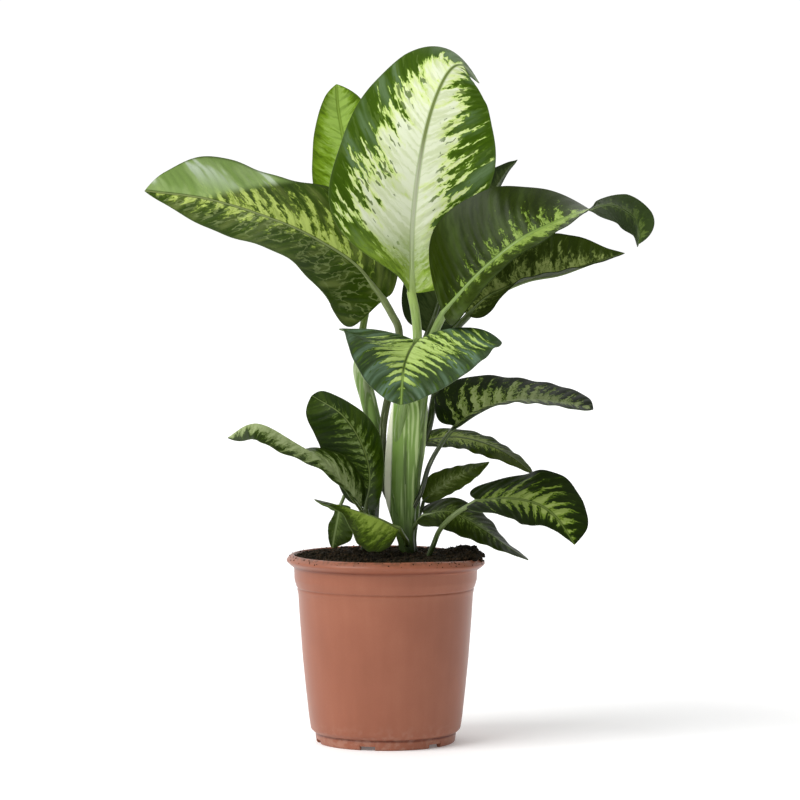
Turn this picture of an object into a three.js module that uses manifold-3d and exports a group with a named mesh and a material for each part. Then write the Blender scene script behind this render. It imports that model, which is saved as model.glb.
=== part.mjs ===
// Potted dieffenbachia: a terracotta-coloured plastic pot full of dark potting soil, two canes and
// sixteen leaves, each leaf one body from the foot of its petiole to its tip.
// Millimetres, +Z up, +X right and +Y away from the viewer. The origin is on the pot's axis,
// in the plane that the pot stands on.
import * as THREE from 'three';
import { mergeVertices } from 'three/addons/utils/BufferGeometryUtils.js';
import Module from 'manifold-3d';

const wasm = await Module();
wasm.setup();

// Pot
const RIM_RADIUS = 97;
const RIM_TOP = 184.2;
const RIM_SAG = 3;
const WALL = 2;
const FLOOR_UNDER = 5;
const DISC_RADIUS = 30;
const POT_SEGMENTS = 44;
const NOTCH_COUNT = 6;
const NOTCH_WIDTH = 15;
const NOTCH_HEIGHT = 4;
const FIRST_NOTCH = -105;
const DRAIN_COUNT = 6;
const DRAIN_RADIUS = 5;
const DRAIN_CIRCLE = 46;

// Soil
const SOIL_EDGE = 181;
const SOIL_MOUND = 4;
const CLOD_COUNT = 22;
const CLOD_SEED = 7;

// Between two pieces that touch in the real plant
const GAP = 0.3;

// Leaves
const BLADE_THICKNESS = 0.8;
const RIB_STATIONS = 120;
const LOBE_REACH = 0.35;
const RIGHT_WAVE_SHIFT = 1.3;
const TUBE_SIDES = 6;
const MIDRIB_END = 0.85;
const MIDRIB_TIP_RADIUS = 0.6;

// ---------------------------------------------------------------- small geometry helpers

const vector = ([x, y, z]) => new THREE.Vector3(x, y, z);
const radians = THREE.MathUtils.degToRad;

// One uniform Catmull-Rom step between b and c.
function blend(a, b, c, d, f) {
  return 0.5 * (2 * b + (c - a) * f + (2 * a - 5 * b + 4 * c - d) * f * f
    + (3 * b - a - 3 * c + d) * f ** 3);
}

// Reads a padded list of stations at the fraction x of its inner length.
function alongList(padded, x) {
  const steps = padded.length - 3;
  const u = Math.min(Math.max(x, 0), 1) * steps;
  const i = Math.min(Math.floor(u), steps - 1);
  return blend(padded[i], padded[i + 1], padded[i + 2], padded[i + 3], u - i);
}

// Half width of a blade: five measured stations between the bare base and the tip.
function halfWidth(w, x) {
  return Math.max(alongList([-w[0], 0, ...w, 0, w[4]], x), 0);
}

// Five angles along a rib, carried on in a straight line past both ends.
function angleAt(v, s) {
  const list = [2 * v[0] - v[1], ...v, 2 * v[4] - v[3]];
  return radians(alongList(list, s));
}

function toSolid(geometry) {
  const bare = geometry.clone();
  bare.deleteAttribute('normal');
  bare.deleteAttribute('uv');
  const merged = mergeVertices(bare, 1e-3);
  const index = [];
  const at = merged.index.array;
  for (let i = 0; i < at.length; i += 3) {
    const [a, b, c] = [at[i], at[i + 1], at[i + 2]];
    if (a !== b && b !== c && c !== a) index.push(a, b, c);
  }
  const mesh = new wasm.Mesh({
    numProp: 3,
    vertProperties: new Float32Array(merged.attributes.position.array),
    triVerts: new Uint32Array(index),
  });
  return new wasm.Manifold(mesh);
}

function toGeometry(solid) {
  const mesh = solid.getMesh();
  const geometry = new THREE.BufferGeometry();
  const points = [];
  for (let i = 0; i < mesh.vertProperties.length; i += mesh.numProp) {
    points.push(...mesh.vertProperties.slice(i, i + 3));
  }
  geometry.setAttribute('position', new THREE.Float32BufferAttribute(points, 3));
  geometry.setIndex(new THREE.BufferAttribute(mesh.triVerts, 1));
  geometry.computeVertexNormals();
  return geometry;
}

function geometryOf(points, index) {
  const geometry = new THREE.BufferGeometry();
  const flat = points.flatMap((p) => [p.x, p.y, p.z]);
  geometry.setAttribute('position', new THREE.Float32BufferAttribute(flat, 3));
  geometry.setIndex(index);
  return geometry;
}

// Turned body about Z from an outline of [radius, height] pairs that runs from axis to axis.
function turned(outline, segments) {
  const profile = outline.map(([r, z]) => new THREE.Vector2(r, z));
  const geometry = new THREE.LatheGeometry(profile, segments);
  geometry.rotateX(Math.PI / 2);
  return geometry;
}

// Closed skin over rings of equal length, with a point at each end.
function skinned(rings, start, end) {
  const sides = rings[0].length;
  const points = [start, ...rings.flat(), end];
  const last = points.length - 1;
  const index = [];
  const at = (ring, side) => 1 + ring * sides + (side % sides);
  for (let side = 0; side < sides; side += 1) {
    index.push(0, at(0, side + 1), at(0, side));
    index.push(last, at(rings.length - 1, side), at(rings.length - 1, side + 1));
    for (let ring = 0; ring < rings.length - 1; ring += 1) {
      const [a, b] = [at(ring, side), at(ring, side + 1)];
      const [c, d] = [at(ring + 1, side), at(ring + 1, side + 1)];
      index.push(a, b, d, a, d, c);
    }
  }
  return geometryOf(points, index);
}

// Directions across a path, carried along it without spin: tangent, face normal and side.
function framesAlong(points, firstNormal) {
  const last = points.length - 1;
  const tangents = points.map((p, i) => {
    const ahead = points[Math.min(i + 1, last)];
    const behind = points[Math.max(i - 1, 0)];
    return ahead.clone().sub(behind).normalize();
  });
  const first = firstNormal.clone().projectOnPlane(tangents[0]).normalize();
  const normals = [first];
  for (let i = 1; i <= last; i += 1) {
    const chord = points[i].clone().sub(points[i - 1]).normalize();
    const normal = normals[i - 1].clone().reflect(chord);
    const tangent = tangents[i - 1].clone().reflect(chord);
    const turn = tangents[i].clone().sub(tangent);
    if (turn.lengthSq() > 1e-12) normal.reflect(turn.normalize());
    normals.push(normal.normalize());
  }
  return { tangents, normals };
}

// ---------------------------------------------------------------- canes

// A cane is a list of sections from the ground up: [x, y, z, radius in x, radius in y].
// Its flutes are the edges of the leaf sheaths wrapped round it.
const MAIN_CANE = [
  [21.5, 0, 150, 8, 8],
  [21.5, 0, 187.1, 8.5, 8.5],
  [20, 0, 200.2, 9.5, 9.5],
  [18.5, 0, 218.2, 13, 11.5],
  [16.5, 0, 237.3, 16.5, 12.5],
  [15.5, 0, 257.4, 17.5, 13],
  [18.5, 0, 285, 18.8, 13.5],
  [20.5, -1, 305, 18.5, 13.5],
  [23, -2, 325, 17.5, 12.5],
  [24, -2, 338, 14, 10],
  [24, -2, 343, 9, 6],
];
const LEFT_CANE = [
  [-16, 12, 150, 8.5, 8.5],
  [-16, 12, 205.7, 8.5, 8.5],
  [-14, 12, 236.8, 8, 8],
  [-10, 13, 274.9, 7.5, 7.5],
  [-11, 15, 303.8, 7.5, 7.5],
  [-16.9, 18, 331.7, 8, 7.5],
  [-23.9, 22, 358.4, 8, 7],
  [-24.9, 25, 378.2, 6, 5.5],
];
const FLUTE_DEPTH = 0.05;

function caneSolid(sections, flutes, sides, grow) {
  const centre = ([x, y, z]) => new THREE.Vector3(x, y, z);
  const rings = sections.map((section) => {
    const [, , , rx, ry] = section;
    const ring = [];
    for (let k = 0; k < sides; k += 1) {
      const angle = (2 * Math.PI * k) / sides;
      const flute = 1 + FLUTE_DEPTH * Math.cos(flutes * angle);
      const out = new THREE.Vector3(
        (rx * flute + grow) * Math.cos(angle),
        (ry * flute + grow) * Math.sin(angle),
        0,
      );
      ring.push(centre(section).add(out));
    }
    return ring;
  });
  const foot = centre(sections[0]);
  const top = centre(sections.at(-1)).add(new THREE.Vector3(0, 0, 1 + grow));
  foot.z -= grow;
  rings.at(-1).forEach((p) => { p.z += grow; });
  return toSolid(skinned(rings, foot, top));
}

const mainCane = (grow) => caneSolid(MAIN_CANE, 7, 28, grow);
const leftCane = (grow) => caneSolid(LEFT_CANE, 5, 20, grow);

// ---------------------------------------------------------------- leaf building

// The midrib of a blade, with the blade's own directions at every fraction of its length.
class Rib {
  constructor(leaf) {
    const curve = new THREE.CatmullRomCurve3(leaf.rib.map(vector), false, 'catmullrom', 0.5);
    this.points = curve.getPoints(RIB_STATIONS);
    this.lengths = [0];
    for (let i = 1; i < this.points.length; i += 1) {
      this.lengths.push(this.lengths[i - 1] + this.points[i].distanceTo(this.points[i - 1]));
    }
    this.length = this.lengths.at(-1);
    const { tangents, normals } = framesAlong(this.points, vector(leaf.face));
    this.tangents = tangents;
    this.normals = normals.map((normal, i) => {
      const turn = angleAt(leaf.twist, this.lengths[i] / this.length);
      return normal.clone().applyAxisAngle(tangents[i], turn);
    });
  }

  at(fraction) {
    const want = Math.min(Math.max(fraction, 0), 1) * this.length;
    let i = this.lengths.findIndex((l) => l > want);
    if (i < 1) i = this.lengths.length - 1;
    const f = (want - this.lengths[i - 1]) / (this.lengths[i] - this.lengths[i - 1]);
    const point = this.points[i - 1].clone().lerp(this.points[i], f);
    const tangent = this.tangents[i - 1].clone().lerp(this.tangents[i], f).normalize();
    const normal = this.normals[i - 1].clone().lerp(this.normals[i], f);
    normal.projectOnPlane(tangent).normalize();
    const side = tangent.clone().cross(normal);
    if (fraction < 0) point.addScaledVector(this.tangents[0], fraction * this.length);
    return { point, tangent, normal, side };
  }
}

// A point of the blade's middle surface: x runs from base to tip, t from left to right margin.
function bladePoint(leaf, rib, x, t) {
  const s = 0.5 * (1 - Math.cos(Math.PI * x));
  const right = t > 0;
  const widths = right ? leaf.right : leaf.left;
  const widest = Math.max(...widths);
  const across = halfWidth(widths, x) * Math.abs(t);
  const r = Math.min(s / LOBE_REACH, 1);
  const lobe = leaf.lobe * 6.75 * r * (1 - r) ** 2 * Math.abs(t);
  const { point, normal, side } = rib.at(s - lobe);
  const lift = angleAt(right ? leaf.liftRight : leaf.liftLeft, s);
  const [height, count, phase] = leaf.wave;
  const swing = 2 * Math.PI * count * s + phase + (right ? RIGHT_WAVE_SHIFT : 0);
  const wave = height * (across / widest) ** 2 * Math.sin(swing);
  point.addScaledVector(side, Math.sign(t) * across * Math.cos(lift));
  return point.addScaledVector(normal, across * Math.sin(lift) + wave);
}

// The blade as a thin closed body. Both faces are split into the same triangles.
function bladeSolid(leaf, rib) {
  const rows = leaf.rows;
  const columns = 2 * leaf.columns;
  const points = [bladePoint(leaf, rib, 0, 0)];
  for (let i = 1; i < rows; i += 1) {
    for (let j = 0; j <= columns; j += 1) {
      points.push(bladePoint(leaf, rib, i / rows, (2 * j) / columns - 1));
    }
  }
  points.push(bladePoint(leaf, rib, 1, 0));
  const tip = points.length - 1;
  const at = (i, j) => 1 + (i - 1) * (columns + 1) + j;
  const face = [];
  for (let j = 0; j < columns; j += 1) {
    face.push(0, at(1, j + 1), at(1, j));
    face.push(tip, at(rows - 1, j), at(rows - 1, j + 1));
    for (let i = 1; i < rows - 1; i += 1) {
      const [a, b, c, d] = [at(i, j), at(i, j + 1), at(i + 1, j), at(i + 1, j + 1)];
      if (j < leaf.columns) face.push(a, b, c, b, d, c);
      else face.push(a, b, d, a, d, c);
    }
  }
  const sheet = geometryOf(points, face);
  sheet.computeVertexNormals();
  const normals = sheet.attributes.normal;
  const shifted = (sign) => points.map((p, i) => {
    const normal = new THREE.Vector3().fromBufferAttribute(normals, i);
    return p.clone().addScaledVector(normal, (sign * BLADE_THICKNESS) / 2);
  });
  const count = points.length;
  const index = [...face];
  for (let k = 0; k < face.length; k += 3) {
    index.push(count + face[k], count + face[k + 2], count + face[k + 1]);
  }
  const margin = [0];
  for (let i = 1; i < rows; i += 1) margin.push(at(i, 0));
  margin.push(tip);
  for (let i = rows - 1; i > 0; i -= 1) margin.push(at(i, columns));
  margin.forEach((a, k) => {
    const b = margin[(k + 1) % margin.length];
    index.push(a, b, count + a, b, count + b, count + a);
  });
  return toSolid(geometryOf([...shifted(1), ...shifted(-1)], index));
}

// Petiole and midrib as one tapering round stem, which runs on below the blade.
function stemSolid(leaf, rib) {
  const [footRadius, neckRadius] = leaf.radii;
  const path = [];
  const radii = [];
  const petiole = [...leaf.stalk.map(vector), rib.at(0).point];
  const curve = new THREE.CatmullRomCurve3(petiole, false, 'catmullrom', 0.5);
  const petioleSteps = leaf.stalk.length + 3;
  curve.getPoints(petioleSteps).slice(0, -1).forEach((p, i) => {
    path.push(p);
    radii.push(THREE.MathUtils.lerp(footRadius, neckRadius, i / petioleSteps));
  });
  const ribSteps = Math.ceil(leaf.rows / 2);
  for (let i = 0; i <= ribSteps; i += 1) {
    const s = (MIDRIB_END * i) / ribSteps;
    const radius = THREE.MathUtils.lerp(neckRadius, MIDRIB_TIP_RADIUS, Math.sqrt(i / ribSteps));
    const { point, normal } = rib.at(s);
    const sink = 0.6 * radius * THREE.MathUtils.smoothstep(s, 0, 0.12);
    path.push(point.addScaledVector(normal, -sink));
    radii.push(radius);
  }
  const { tangents, normals } = framesAlong(path, new THREE.Vector3(0.3, 1, 0.2));
  const rings = path.map((p, i) => {
    const side = tangents[i].clone().cross(normals[i]);
    const ring = [];
    for (let k = 0; k < TUBE_SIDES; k += 1) {
      const angle = (2 * Math.PI * k) / TUBE_SIDES;
      const out = normals[i].clone().multiplyScalar(Math.cos(angle));
      out.addScaledVector(side, Math.sin(angle)).multiplyScalar(radii[i]);
      ring.push(p.clone().add(out));
    }
    return ring;
  });
  return toSolid(skinned(rings, path[0].clone(), path.at(-1).clone()));
}

// The largest body of a cut solid: a petiole trimmed by a cane may leave a loose scrap inside it.
function largest(solid) {
  const bodies = solid.decompose();
  return bodies.reduce((best, body) => (body.volume() > best.volume() ? body : best));
}

function leafGeometry(leaf) {
  const rib = new Rib(leaf);
  let solid = bladeSolid(leaf, rib).add(stemSolid(leaf, rib));
  solid = solid.subtract(mainCane(GAP)).subtract(leftCane(GAP));
  return toGeometry(largest(solid));
}

const TWIST_FREE = [0, 0, 0, 0, 0];
const evenTwist = (degrees) => [0, 0.25, 0.5, 0.75, 1].map((s) => degrees * s);

const LARGE = { rows: 13, columns: 3 };
const SMALL = { rows: 9, columns: 2 };

// ---------------------------------------------------------------- the crown of large leaves

// Cream-centred leaf that stands upright in the middle and nods at its tip.
const centreLeaf = {
  ...LARGE,
  stalk: [[21, -1, 277], [25, -3, 311], [29, -6, 354], [31, -8, 393], [29, -7, 419]],
  rib: [[25, -6, 439], [26, -12, 505], [34, -12, 571], [45, -4, 618], [60, 14, 652],
    [75, 34, 661], [92, 46, 644]],
  face: [0, -0.99, 0.15],
  left: [19, 85, 78, 54, 23],
  right: [52, 60, 74, 52, 14],
  liftLeft: [50, 26, 10, -8, 3],
  liftRight: [-3, -8, -9, -9, -5],
  twist: TWIST_FREE,
  lobe: 0,
  wave: [1.5, 3, 0.4],
  radii: [5, 4.4],
};

// Young yellow-green leaf behind it on the left, on the left cane.
const youngLeaf = {
  ...LARGE,
  rows: 11,
  stalk: [[-24, 26, 374], [-23, 31, 400], [-17, 42, 431]],
  rib: [[-14, 48, 445], [-29, 66, 520], [-40, 76, 579], [-47, 78, 618], [-49, 72, 644]],
  face: [-0.25, -0.94, 0.15],
  left: [23, 37, 39, 30, 13],
  right: [29, 47, 49, 35, 24],
  liftLeft: [5, 5, 6, 8, 8],
  liftRight: [5, 4, 4, 4, 8],
  twist: TWIST_FREE,
  lobe: 0.03,
  wave: [1, 2, 0],
  radii: [4, 3],
};

// Long leaf that arches out to the left.
const leftLeaf = {
  ...LARGE,
  rows: 12,
  stalk: [[10, 0, 226], [-1, 2, 250], [-3, 1, 280], [-2.5, 0, 308], [2.5, 1, 337],
    [12, 5, 373], [13, 6, 402], [6, 8, 418]],
  rib: [[-2, 10, 432], [-27, 6, 464], [-62, 0, 488], [-103, -8, 508], [-168, -18, 529],
    [-233, -20, 538]],
  face: [0.35, -0.67, 0.64],
  left: [48, 58, 54, 43, 13],
  right: [20, 68, 65, 61, 23],
  liftLeft: [-30, 2, 16, 8, 4],
  liftRight: [12, 4, -6, -3, 31],
  twist: evenTwist(4),
  lobe: 0.07,
  wave: [1.5, 2.5, 1.2],
  radii: [3.8, 3.8],
};

// Large leaf to the right, turned over beyond its middle, with a hooked tip.
const rightLeaf = {
  ...LARGE,
  rows: 17,
  stalk: [[25, -3, 283], [33, -7, 311], [38, -14, 350], [41, -26, 384], [49, -38, 406]],
  rib: [[56, -44, 420], [77, -56, 445], [100, -62, 468], [129, -66, 491], [163, -66, 508],
    [192, -71, 520], [214, -77, 525], [234, -91, 515], [240, -107, 500], [238, -127, 488]],
  face: [-0.1, -0.96, 0.25],
  left: [54, 71, 56, 32, 14],
  right: [42, 55, 48, 35, 22],
  liftLeft: [-27, -7, 11, -8, 17],
  liftRight: [45, 60, 24, -23, 37],
  twist: [-6, -6, -43, -116, -167],
  lobe: 0.01,
  wave: [0.8, 2.5, 0],
  radii: [5, 4],
};

// Leaf below it, held flat with both halves folded up.
const lowerRightLeaf = {
  ...LARGE,
  rows: 12,
  stalk: [[28, 3, 272], [41, 7, 305], [47, 12, 334], [55, 19, 371], [65, 26, 398]],
  rib: [[81, 34, 416], [97, 38, 432], [117, 42, 442], [142, 46, 451], [172, 50, 456],
    [202, 54, 466], [236, 56, 477]],
  face: [-0.2, -0.25, 0.94],
  left: [28, 47, 49, 39, 10],
  right: [27, 45, 43, 30, 12],
  liftLeft: [47, 50, 50, 47, 37],
  liftRight: [-11, 16, 20, 14, 6],
  twist: evenTwist(-8),
  lobe: 0.02,
  wave: [1.2, 3, 0.8],
  radii: [4, 3.6],
};

// Leaf at the back, which faces away.
const backLeaf = {
  ...LARGE,
  rows: 11,
  stalk: [[16, 8, 275], [20, 10, 310], [26, 20, 346], [34, 34, 377]],
  rib: [[42, 44, 399], [62, 76, 455], [94, 102, 514], [119, 118, 557], [132, 124, 570]],
  face: [-0.2, 0.96, 0.2],
  left: [22, 36, 38, 23, 12],
  right: [25, 42, 41, 31, 7],
  liftLeft: [8, 17, 26, 36, 32],
  liftRight: [10, 10, 10, 10, 10],
  twist: evenTwist(32),
  lobe: 0.06,
  wave: [1.2, 2.5, 0],
  radii: [4.5, 3.6],
};

// Broad leaf that comes forward and hangs down in front of the canes.
const frontLeaf = {
  ...LARGE,
  stalk: [[14, -4, 283], [13, -11, 306], [19, -20, 341], [27, -34, 374], [31, -48, 389]],
  rib: [[30, -58, 394], [23, -88, 385], [18, -121, 373], [16, -150, 358], [15, -170, 339]],
  face: [0, -0.35, 0.92],
  left: [27, 87, 84, 59, 22],
  right: [21, 67, 62, 43, 17],
  liftLeft: [34, 14, 13, 10, 3],
  liftRight: [15, 14, 25, 15, -5],
  twist: evenTwist(-2),
  lobe: 0.09,
  wave: [1.2, 2.5, 0.6],
  radii: [5.5, 3.8],
};

// ---------------------------------------------------------------- the low leaves on the left

// Dark leaf that stands against the left cane and leans out at its tip.
const darkLeftLeaf = {
  ...SMALL,
  stalk: [[-15, 8, 205], [-18, -4, 217]],
  rib: [[-19, -9, 230], [-15, -15, 262], [-23, -19, 293], [-42, -17, 321], [-72, -2, 339]],
  face: [-0.3, -0.94, 0.15],
  left: [22, 36, 38, 34, 21],
  right: [16, 21, 27, 15, 10],
  liftLeft: [0, 4, 10, 21, 38],
  liftRight: [35, 36, 26, 18, 16],
  twist: evenTwist(15),
  lobe: 0.04,
  wave: [0.8, 2.5, 0],
  radii: [3, 2.4],
};

// Arched leaf that points to the left.
const archedLeftLeaf = {
  ...SMALL,
  rows: 11,
  stalk: [[-14, 8, 192], [-15, -8, 206], [-18, -17, 219]],
  rib: [[-24, -23, 230], [-41, -43, 256], [-61, -59, 280], [-86, -71, 297], [-114, -82, 314],
    [-131, -86, 315], [-150, -88, 303]],
  face: [0.3, -0.36, 0.82],
  left: [15, 27, 25, 24, 14],
  right: [20, 36, 33, 24, 9],
  liftLeft: [12, -2, -18, -36, -49],
  liftRight: [55, 25, -20, -36, -45],
  twist: evenTwist(18),
  lobe: 0,
  wave: [0.6, 2.5, 0],
  radii: [3, 2.4],
};

// Yellow-green leaf low in front, folded down along its midrib.
const lowFrontLeaf = {
  ...SMALL,
  stalk: [[21, -4, 192], [20, -20, 199], [17, -33, 205]],
  rib: [[13, -42, 213], [-5, -52, 223], [-27, -60, 231], [-49, -66, 238], [-68, -70, 243]],
  face: [0.2, -0.35, 0.92],
  left: [22, 35, 34, 18, 11],
  right: [14, 24, 23, 16, 6],
  liftLeft: [-50, -52, -47, -17, -15],
  liftRight: [-20, -20, -20, -20, -20],
  twist: evenTwist(27),
  lobe: 0.02,
  wave: [0.5, 2, 0],
  radii: [2.6, 2.3],
};

// Small leaf that hangs straight down at the far left.
const hangingLeaf = {
  ...SMALL,
  stalk: [[-14, 12, 232], [-24, 12, 247], [-35, 10, 250]],
  rib: [[-44, 4, 232], [-47, 0, 217], [-50, -2, 202], [-52, -2, 190]],
  face: [-0.2, -1, 0.05],
  left: [12, 11, 18, 17, 6],
  right: [5, 5, 8, 6, 3],
  liftLeft: [22, 27, 18, 4, -5],
  liftRight: [-4, -5, 0, 5, 9],
  twist: TWIST_FREE,
  lobe: 0.03,
  wave: [0, 1, 0],
  radii: [2.4, 1.8],
};

// ---------------------------------------------------------------- the low leaves on the right

// Dark arched leaf, the highest of them.
const archedRightLeaf = {
  ...SMALL,
  rows: 11,
  stalk: [[23, -5, 223], [34, -12, 245], [42, -15, 271], [53, -14, 291]],
  rib: [[67, -9, 309], [87, -3, 324], [116, 0, 333], [146, 0, 335], [178, -4, 331],
    [202, -10, 326]],
  face: [-0.2, -0.45, 0.88],
  left: [14, 45, 40, 33, 18],
  right: [16, 27, 28, 19, 9],
  liftLeft: [73, 24, 13, 17, 26],
  liftRight: [37, 22, 12, 0, -21],
  twist: evenTwist(-27),
  lobe: 0.15,
  wave: [0.6, 2.5, 0],
  radii: [2.8, 2.2],
};

// Narrow leaf below it that comes from behind the cane and droops at the tip.
const narrowRightLeaf = {
  ...SMALL,
  stalk: [[21, 7, 252], [30, 20, 273]],
  rib: [[38, 24, 293], [67, 20, 297], [96, 8, 292], [122, -6, 280], [143, -16, 264]],
  face: [0, -0.25, 0.96],
  left: [15, 23, 22, 16, 7],
  right: [13, 22, 23, 16, 6],
  liftLeft: [18, 5, -5, -7, -1],
  liftRight: [-4, -7, -9, -10, -9],
  twist: evenTwist(-6),
  lobe: 0.06,
  wave: [0.8, 2.5, 0],
  radii: [2.6, 2],
};

// Small plain leaf that points up and out.
const smallRightLeaf = {
  ...SMALL,
  stalk: [[25, 6, 209], [34, 13, 224]],
  rib: [[37, 16, 234], [53, 20, 248], [75, 24, 260], [102, 30, 272]],
  face: [-0.3, -0.88, 0.35],
  left: [7, 16, 15, 10, 3],
  right: [8, 14, 15, 11, 4],
  liftLeft: [10, 5, -3, -9, -10],
  liftRight: [14, 11, 5, 1, -2],
  twist: evenTwist(-18),
  lobe: 0.01,
  wave: [0, 1, 0],
  radii: [2.4, 1.8],
};

// Largest of the low leaves. Its petiole rises from the soil on its own.
const lowRightLeaf = {
  ...SMALL,
  rows: 10,
  stalk: [[40, -26, 163], [41, -27, 181], [46, -33, 195], [53, -42, 212], [67, -50, 227]],
  rib: [[87, -54, 240], [115, -59, 243], [143, -65, 239], [163, -71, 226], [181, -77, 200]],
  face: [0, -0.56, 0.83],
  left: [13, 37, 45, 32, 20],
  right: [16, 28, 30, 13, 3],
  liftLeft: [6, -9, 1, 12, 14],
  liftRight: [21, 11, -2, -10, -7],
  twist: evenTwist(12),
  lobe: 0.15,
  wave: [0.8, 2.5, 0],
  radii: [3, 2.2],
};

// Leaf between that one and the cane, with a drooping point.
const innerRightLeaf = {
  ...SMALL,
  stalk: [[22, -4, 202], [30, -9, 215]],
  rib: [[37, -14, 223], [62, -22, 227], [91, -30, 213], [116, -36, 196], [138, -42, 182]],
  face: [0, -0.56, 0.83],
  left: [12, 24, 24, 14, 7],
  right: [12, 23, 22, 14, 5],
  liftLeft: [-6, -2, -8, -21, -18],
  liftRight: [10, -6, -8, 0, 7],
  twist: evenTwist(-16),
  lobe: 0.12,
  wave: [0.6, 2, 0],
  radii: [2.6, 2],
};

// ---------------------------------------------------------------- pot

// Thin moulded wall with a lip folded down to a beak, a deeper collar and a foot ring.
// Outside from the axis to the lip, then down the inside back to the axis.
const POT_OUTLINE = [
  [0, 0],
  [DISC_RADIUS, 0],
  [DISC_RADIUS + 1, FLOOR_UNDER],
  [62.5, FLOOR_UNDER],
  [63.5, 0],
  [66.5, 0],
  [67.8, 1.2],
  [68.8, 8],
  [68, 9.2],
  [70.6, 11],
  [73.2, 13.5],
  [75, 25],
  [78, 52],
  [81, 82],
  [84, 122],
  [85.5, 146],
  [86.5, 149.8],
  [86, 151.6],
  [87.2, 152.8],
  [89.2, 160],
  [89.6, 171.6],
  [92.2, 173.4],
  [RIM_RADIUS - 0.7, 177],
  [RIM_RADIUS, 178.5],
  [RIM_RADIUS - 0.7, 180],
  [93.2, 183.2],
  [91.2, RIM_TOP],
  [89.6, RIM_TOP - 0.3],
  [88.3, 180.5],
  [89.2 - WALL, 166],
  [85.6 - WALL, 151],
  [81 - WALL, 82],
  [75 - WALL, 25],
  [68, FLOOR_UNDER + WALL],
  [DISC_RADIUS + 0.5, FLOOR_UNDER + WALL],
  [DISC_RADIUS - 1.5, WALL],
  [0, WALL],
];

// The thin rim hangs a little lower on the right.
function sag(geometry) {
  const position = geometry.attributes.position;
  const { smoothstep } = THREE.MathUtils;
  for (let i = 0; i < position.count; i += 1) {
    const share = smoothstep(position.getX(i), 30, 97) * smoothstep(position.getZ(i), 153, 178);
    position.setZ(i, position.getZ(i) - RIM_SAG * share);
  }
  return geometry;
}

function potGeometry() {
  let solid = toSolid(sag(turned(POT_OUTLINE, POT_SEGMENTS)));
  for (let i = 0; i < NOTCH_COUNT; i += 1) {
    const notch = new THREE.BoxGeometry(8, NOTCH_WIDTH, 2 * NOTCH_HEIGHT);
    notch.translate(66, 0, 0);
    notch.rotateZ(radians(FIRST_NOTCH + (360 * i) / NOTCH_COUNT));
    solid = solid.subtract(toSolid(notch));
  }
  for (let i = 0; i < DRAIN_COUNT; i += 1) {
    const drain = new THREE.CylinderGeometry(DRAIN_RADIUS, DRAIN_RADIUS, 12, 12);
    drain.rotateX(Math.PI / 2);
    drain.translate(DRAIN_CIRCLE, 0, FLOOR_UNDER);
    drain.rotateZ(radians((360 * (i + 0.5)) / DRAIN_COUNT));
    solid = solid.subtract(toSolid(drain));
  }
  return toGeometry(solid);
}

// ---------------------------------------------------------------- soil

// Lumpy ground: a low mound round the canes and a second one banked against the rim on the right.
function groundHeight(x, y) {
  const r = Math.hypot(x, y);
  const mound = SOIL_MOUND * Math.max(1 - (r / 90) ** 2, 0) ** 0.8;
  const bank = 8.5 * Math.exp(-(((x - 74) / 13) ** 2) - ((y / 30) ** 2));
  const lumps = 1.2 * Math.sin(0.31 * x + 1.3) * Math.sin(0.27 * y + 0.4)
    + 0.8 * Math.sin(0.19 * x - 0.33 * y + 2.1);
  return SOIL_EDGE + mound + bank + lumps;
}

// Same draws every time.
function seededDraws(seed) {
  let state = seed;
  return () => {
    state = (state * 16807) % 2147483647;
    return state / 2147483647;
  };
}

function soilGeometry() {
  const segments = 36;
  const outline = [
    [0, WALL + GAP],
    [DISC_RADIUS - 1.8, WALL + GAP],
    [DISC_RADIUS, FLOOR_UNDER + WALL + GAP],
    [67.5, FLOOR_UNDER + WALL + GAP],
    [75 - WALL - 2 * GAP, 26],
    [81 - WALL - 2 * GAP, 82],
    [85.6 - WALL - 2 * GAP, 151],
    [89.2 - WALL - 2 * GAP, 167],
  ];
  const rings = [86.5, 78, 68, 57, 46, 34, 22, 11, 0];
  const top = rings.map((r) => [r, SOIL_EDGE]);
  const geometry = turned([...outline, ...top], segments);
  const position = geometry.attributes.position;
  for (let i = 0; i < position.count; i += 1) {
    if (position.getZ(i) > SOIL_EDGE - 1) {
      position.setZ(i, groundHeight(position.getX(i), position.getY(i)));
    }
  }
  let solid = toSolid(geometry);
  const draw = seededDraws(CLOD_SEED);
  for (let i = 0; i < CLOD_COUNT; i += 1) {
    const angle = 2 * Math.PI * draw();
    const reach = 80 * Math.sqrt(draw());
    const size = 2.5 + 3 * draw();
    const clod = new THREE.IcosahedronGeometry(size, 0);
    clod.scale(1, 0.8 + 0.4 * draw(), 0.7);
    clod.rotateZ(6 * draw());
    const [x, y] = [reach * Math.cos(angle), reach * Math.sin(angle)];
    clod.translate(x, y, groundHeight(x, y) + 0.1 * size);
    solid = solid.add(toSolid(clod));
  }
  solid = solid.subtract(mainCane(GAP)).subtract(leftCane(GAP));
  const lone = { ...lowRightLeaf, radii: lowRightLeaf.radii.map((r) => r + 2 * GAP) };
  const stalkHole = stemSolid(lone, new Rib(lone));
  return toGeometry(largest(solid.subtract(stalkHole)));
}

// ---------------------------------------------------------------- assembly

function piece(name, geometry, color, roughness) {
  const material = new THREE.MeshStandardMaterial({ color, roughness, metalness: 0 });
  const mesh = new THREE.Mesh(geometry, material);
  mesh.name = name;
  return mesh;
}

const holder = new THREE.Group();
holder.name = 'pot_and_soil';
holder.add(piece('pot', potGeometry(), 0xb07c66, 0.45));
holder.add(piece('soil', soilGeometry(), 0x2c241c, 0.95));

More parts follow.
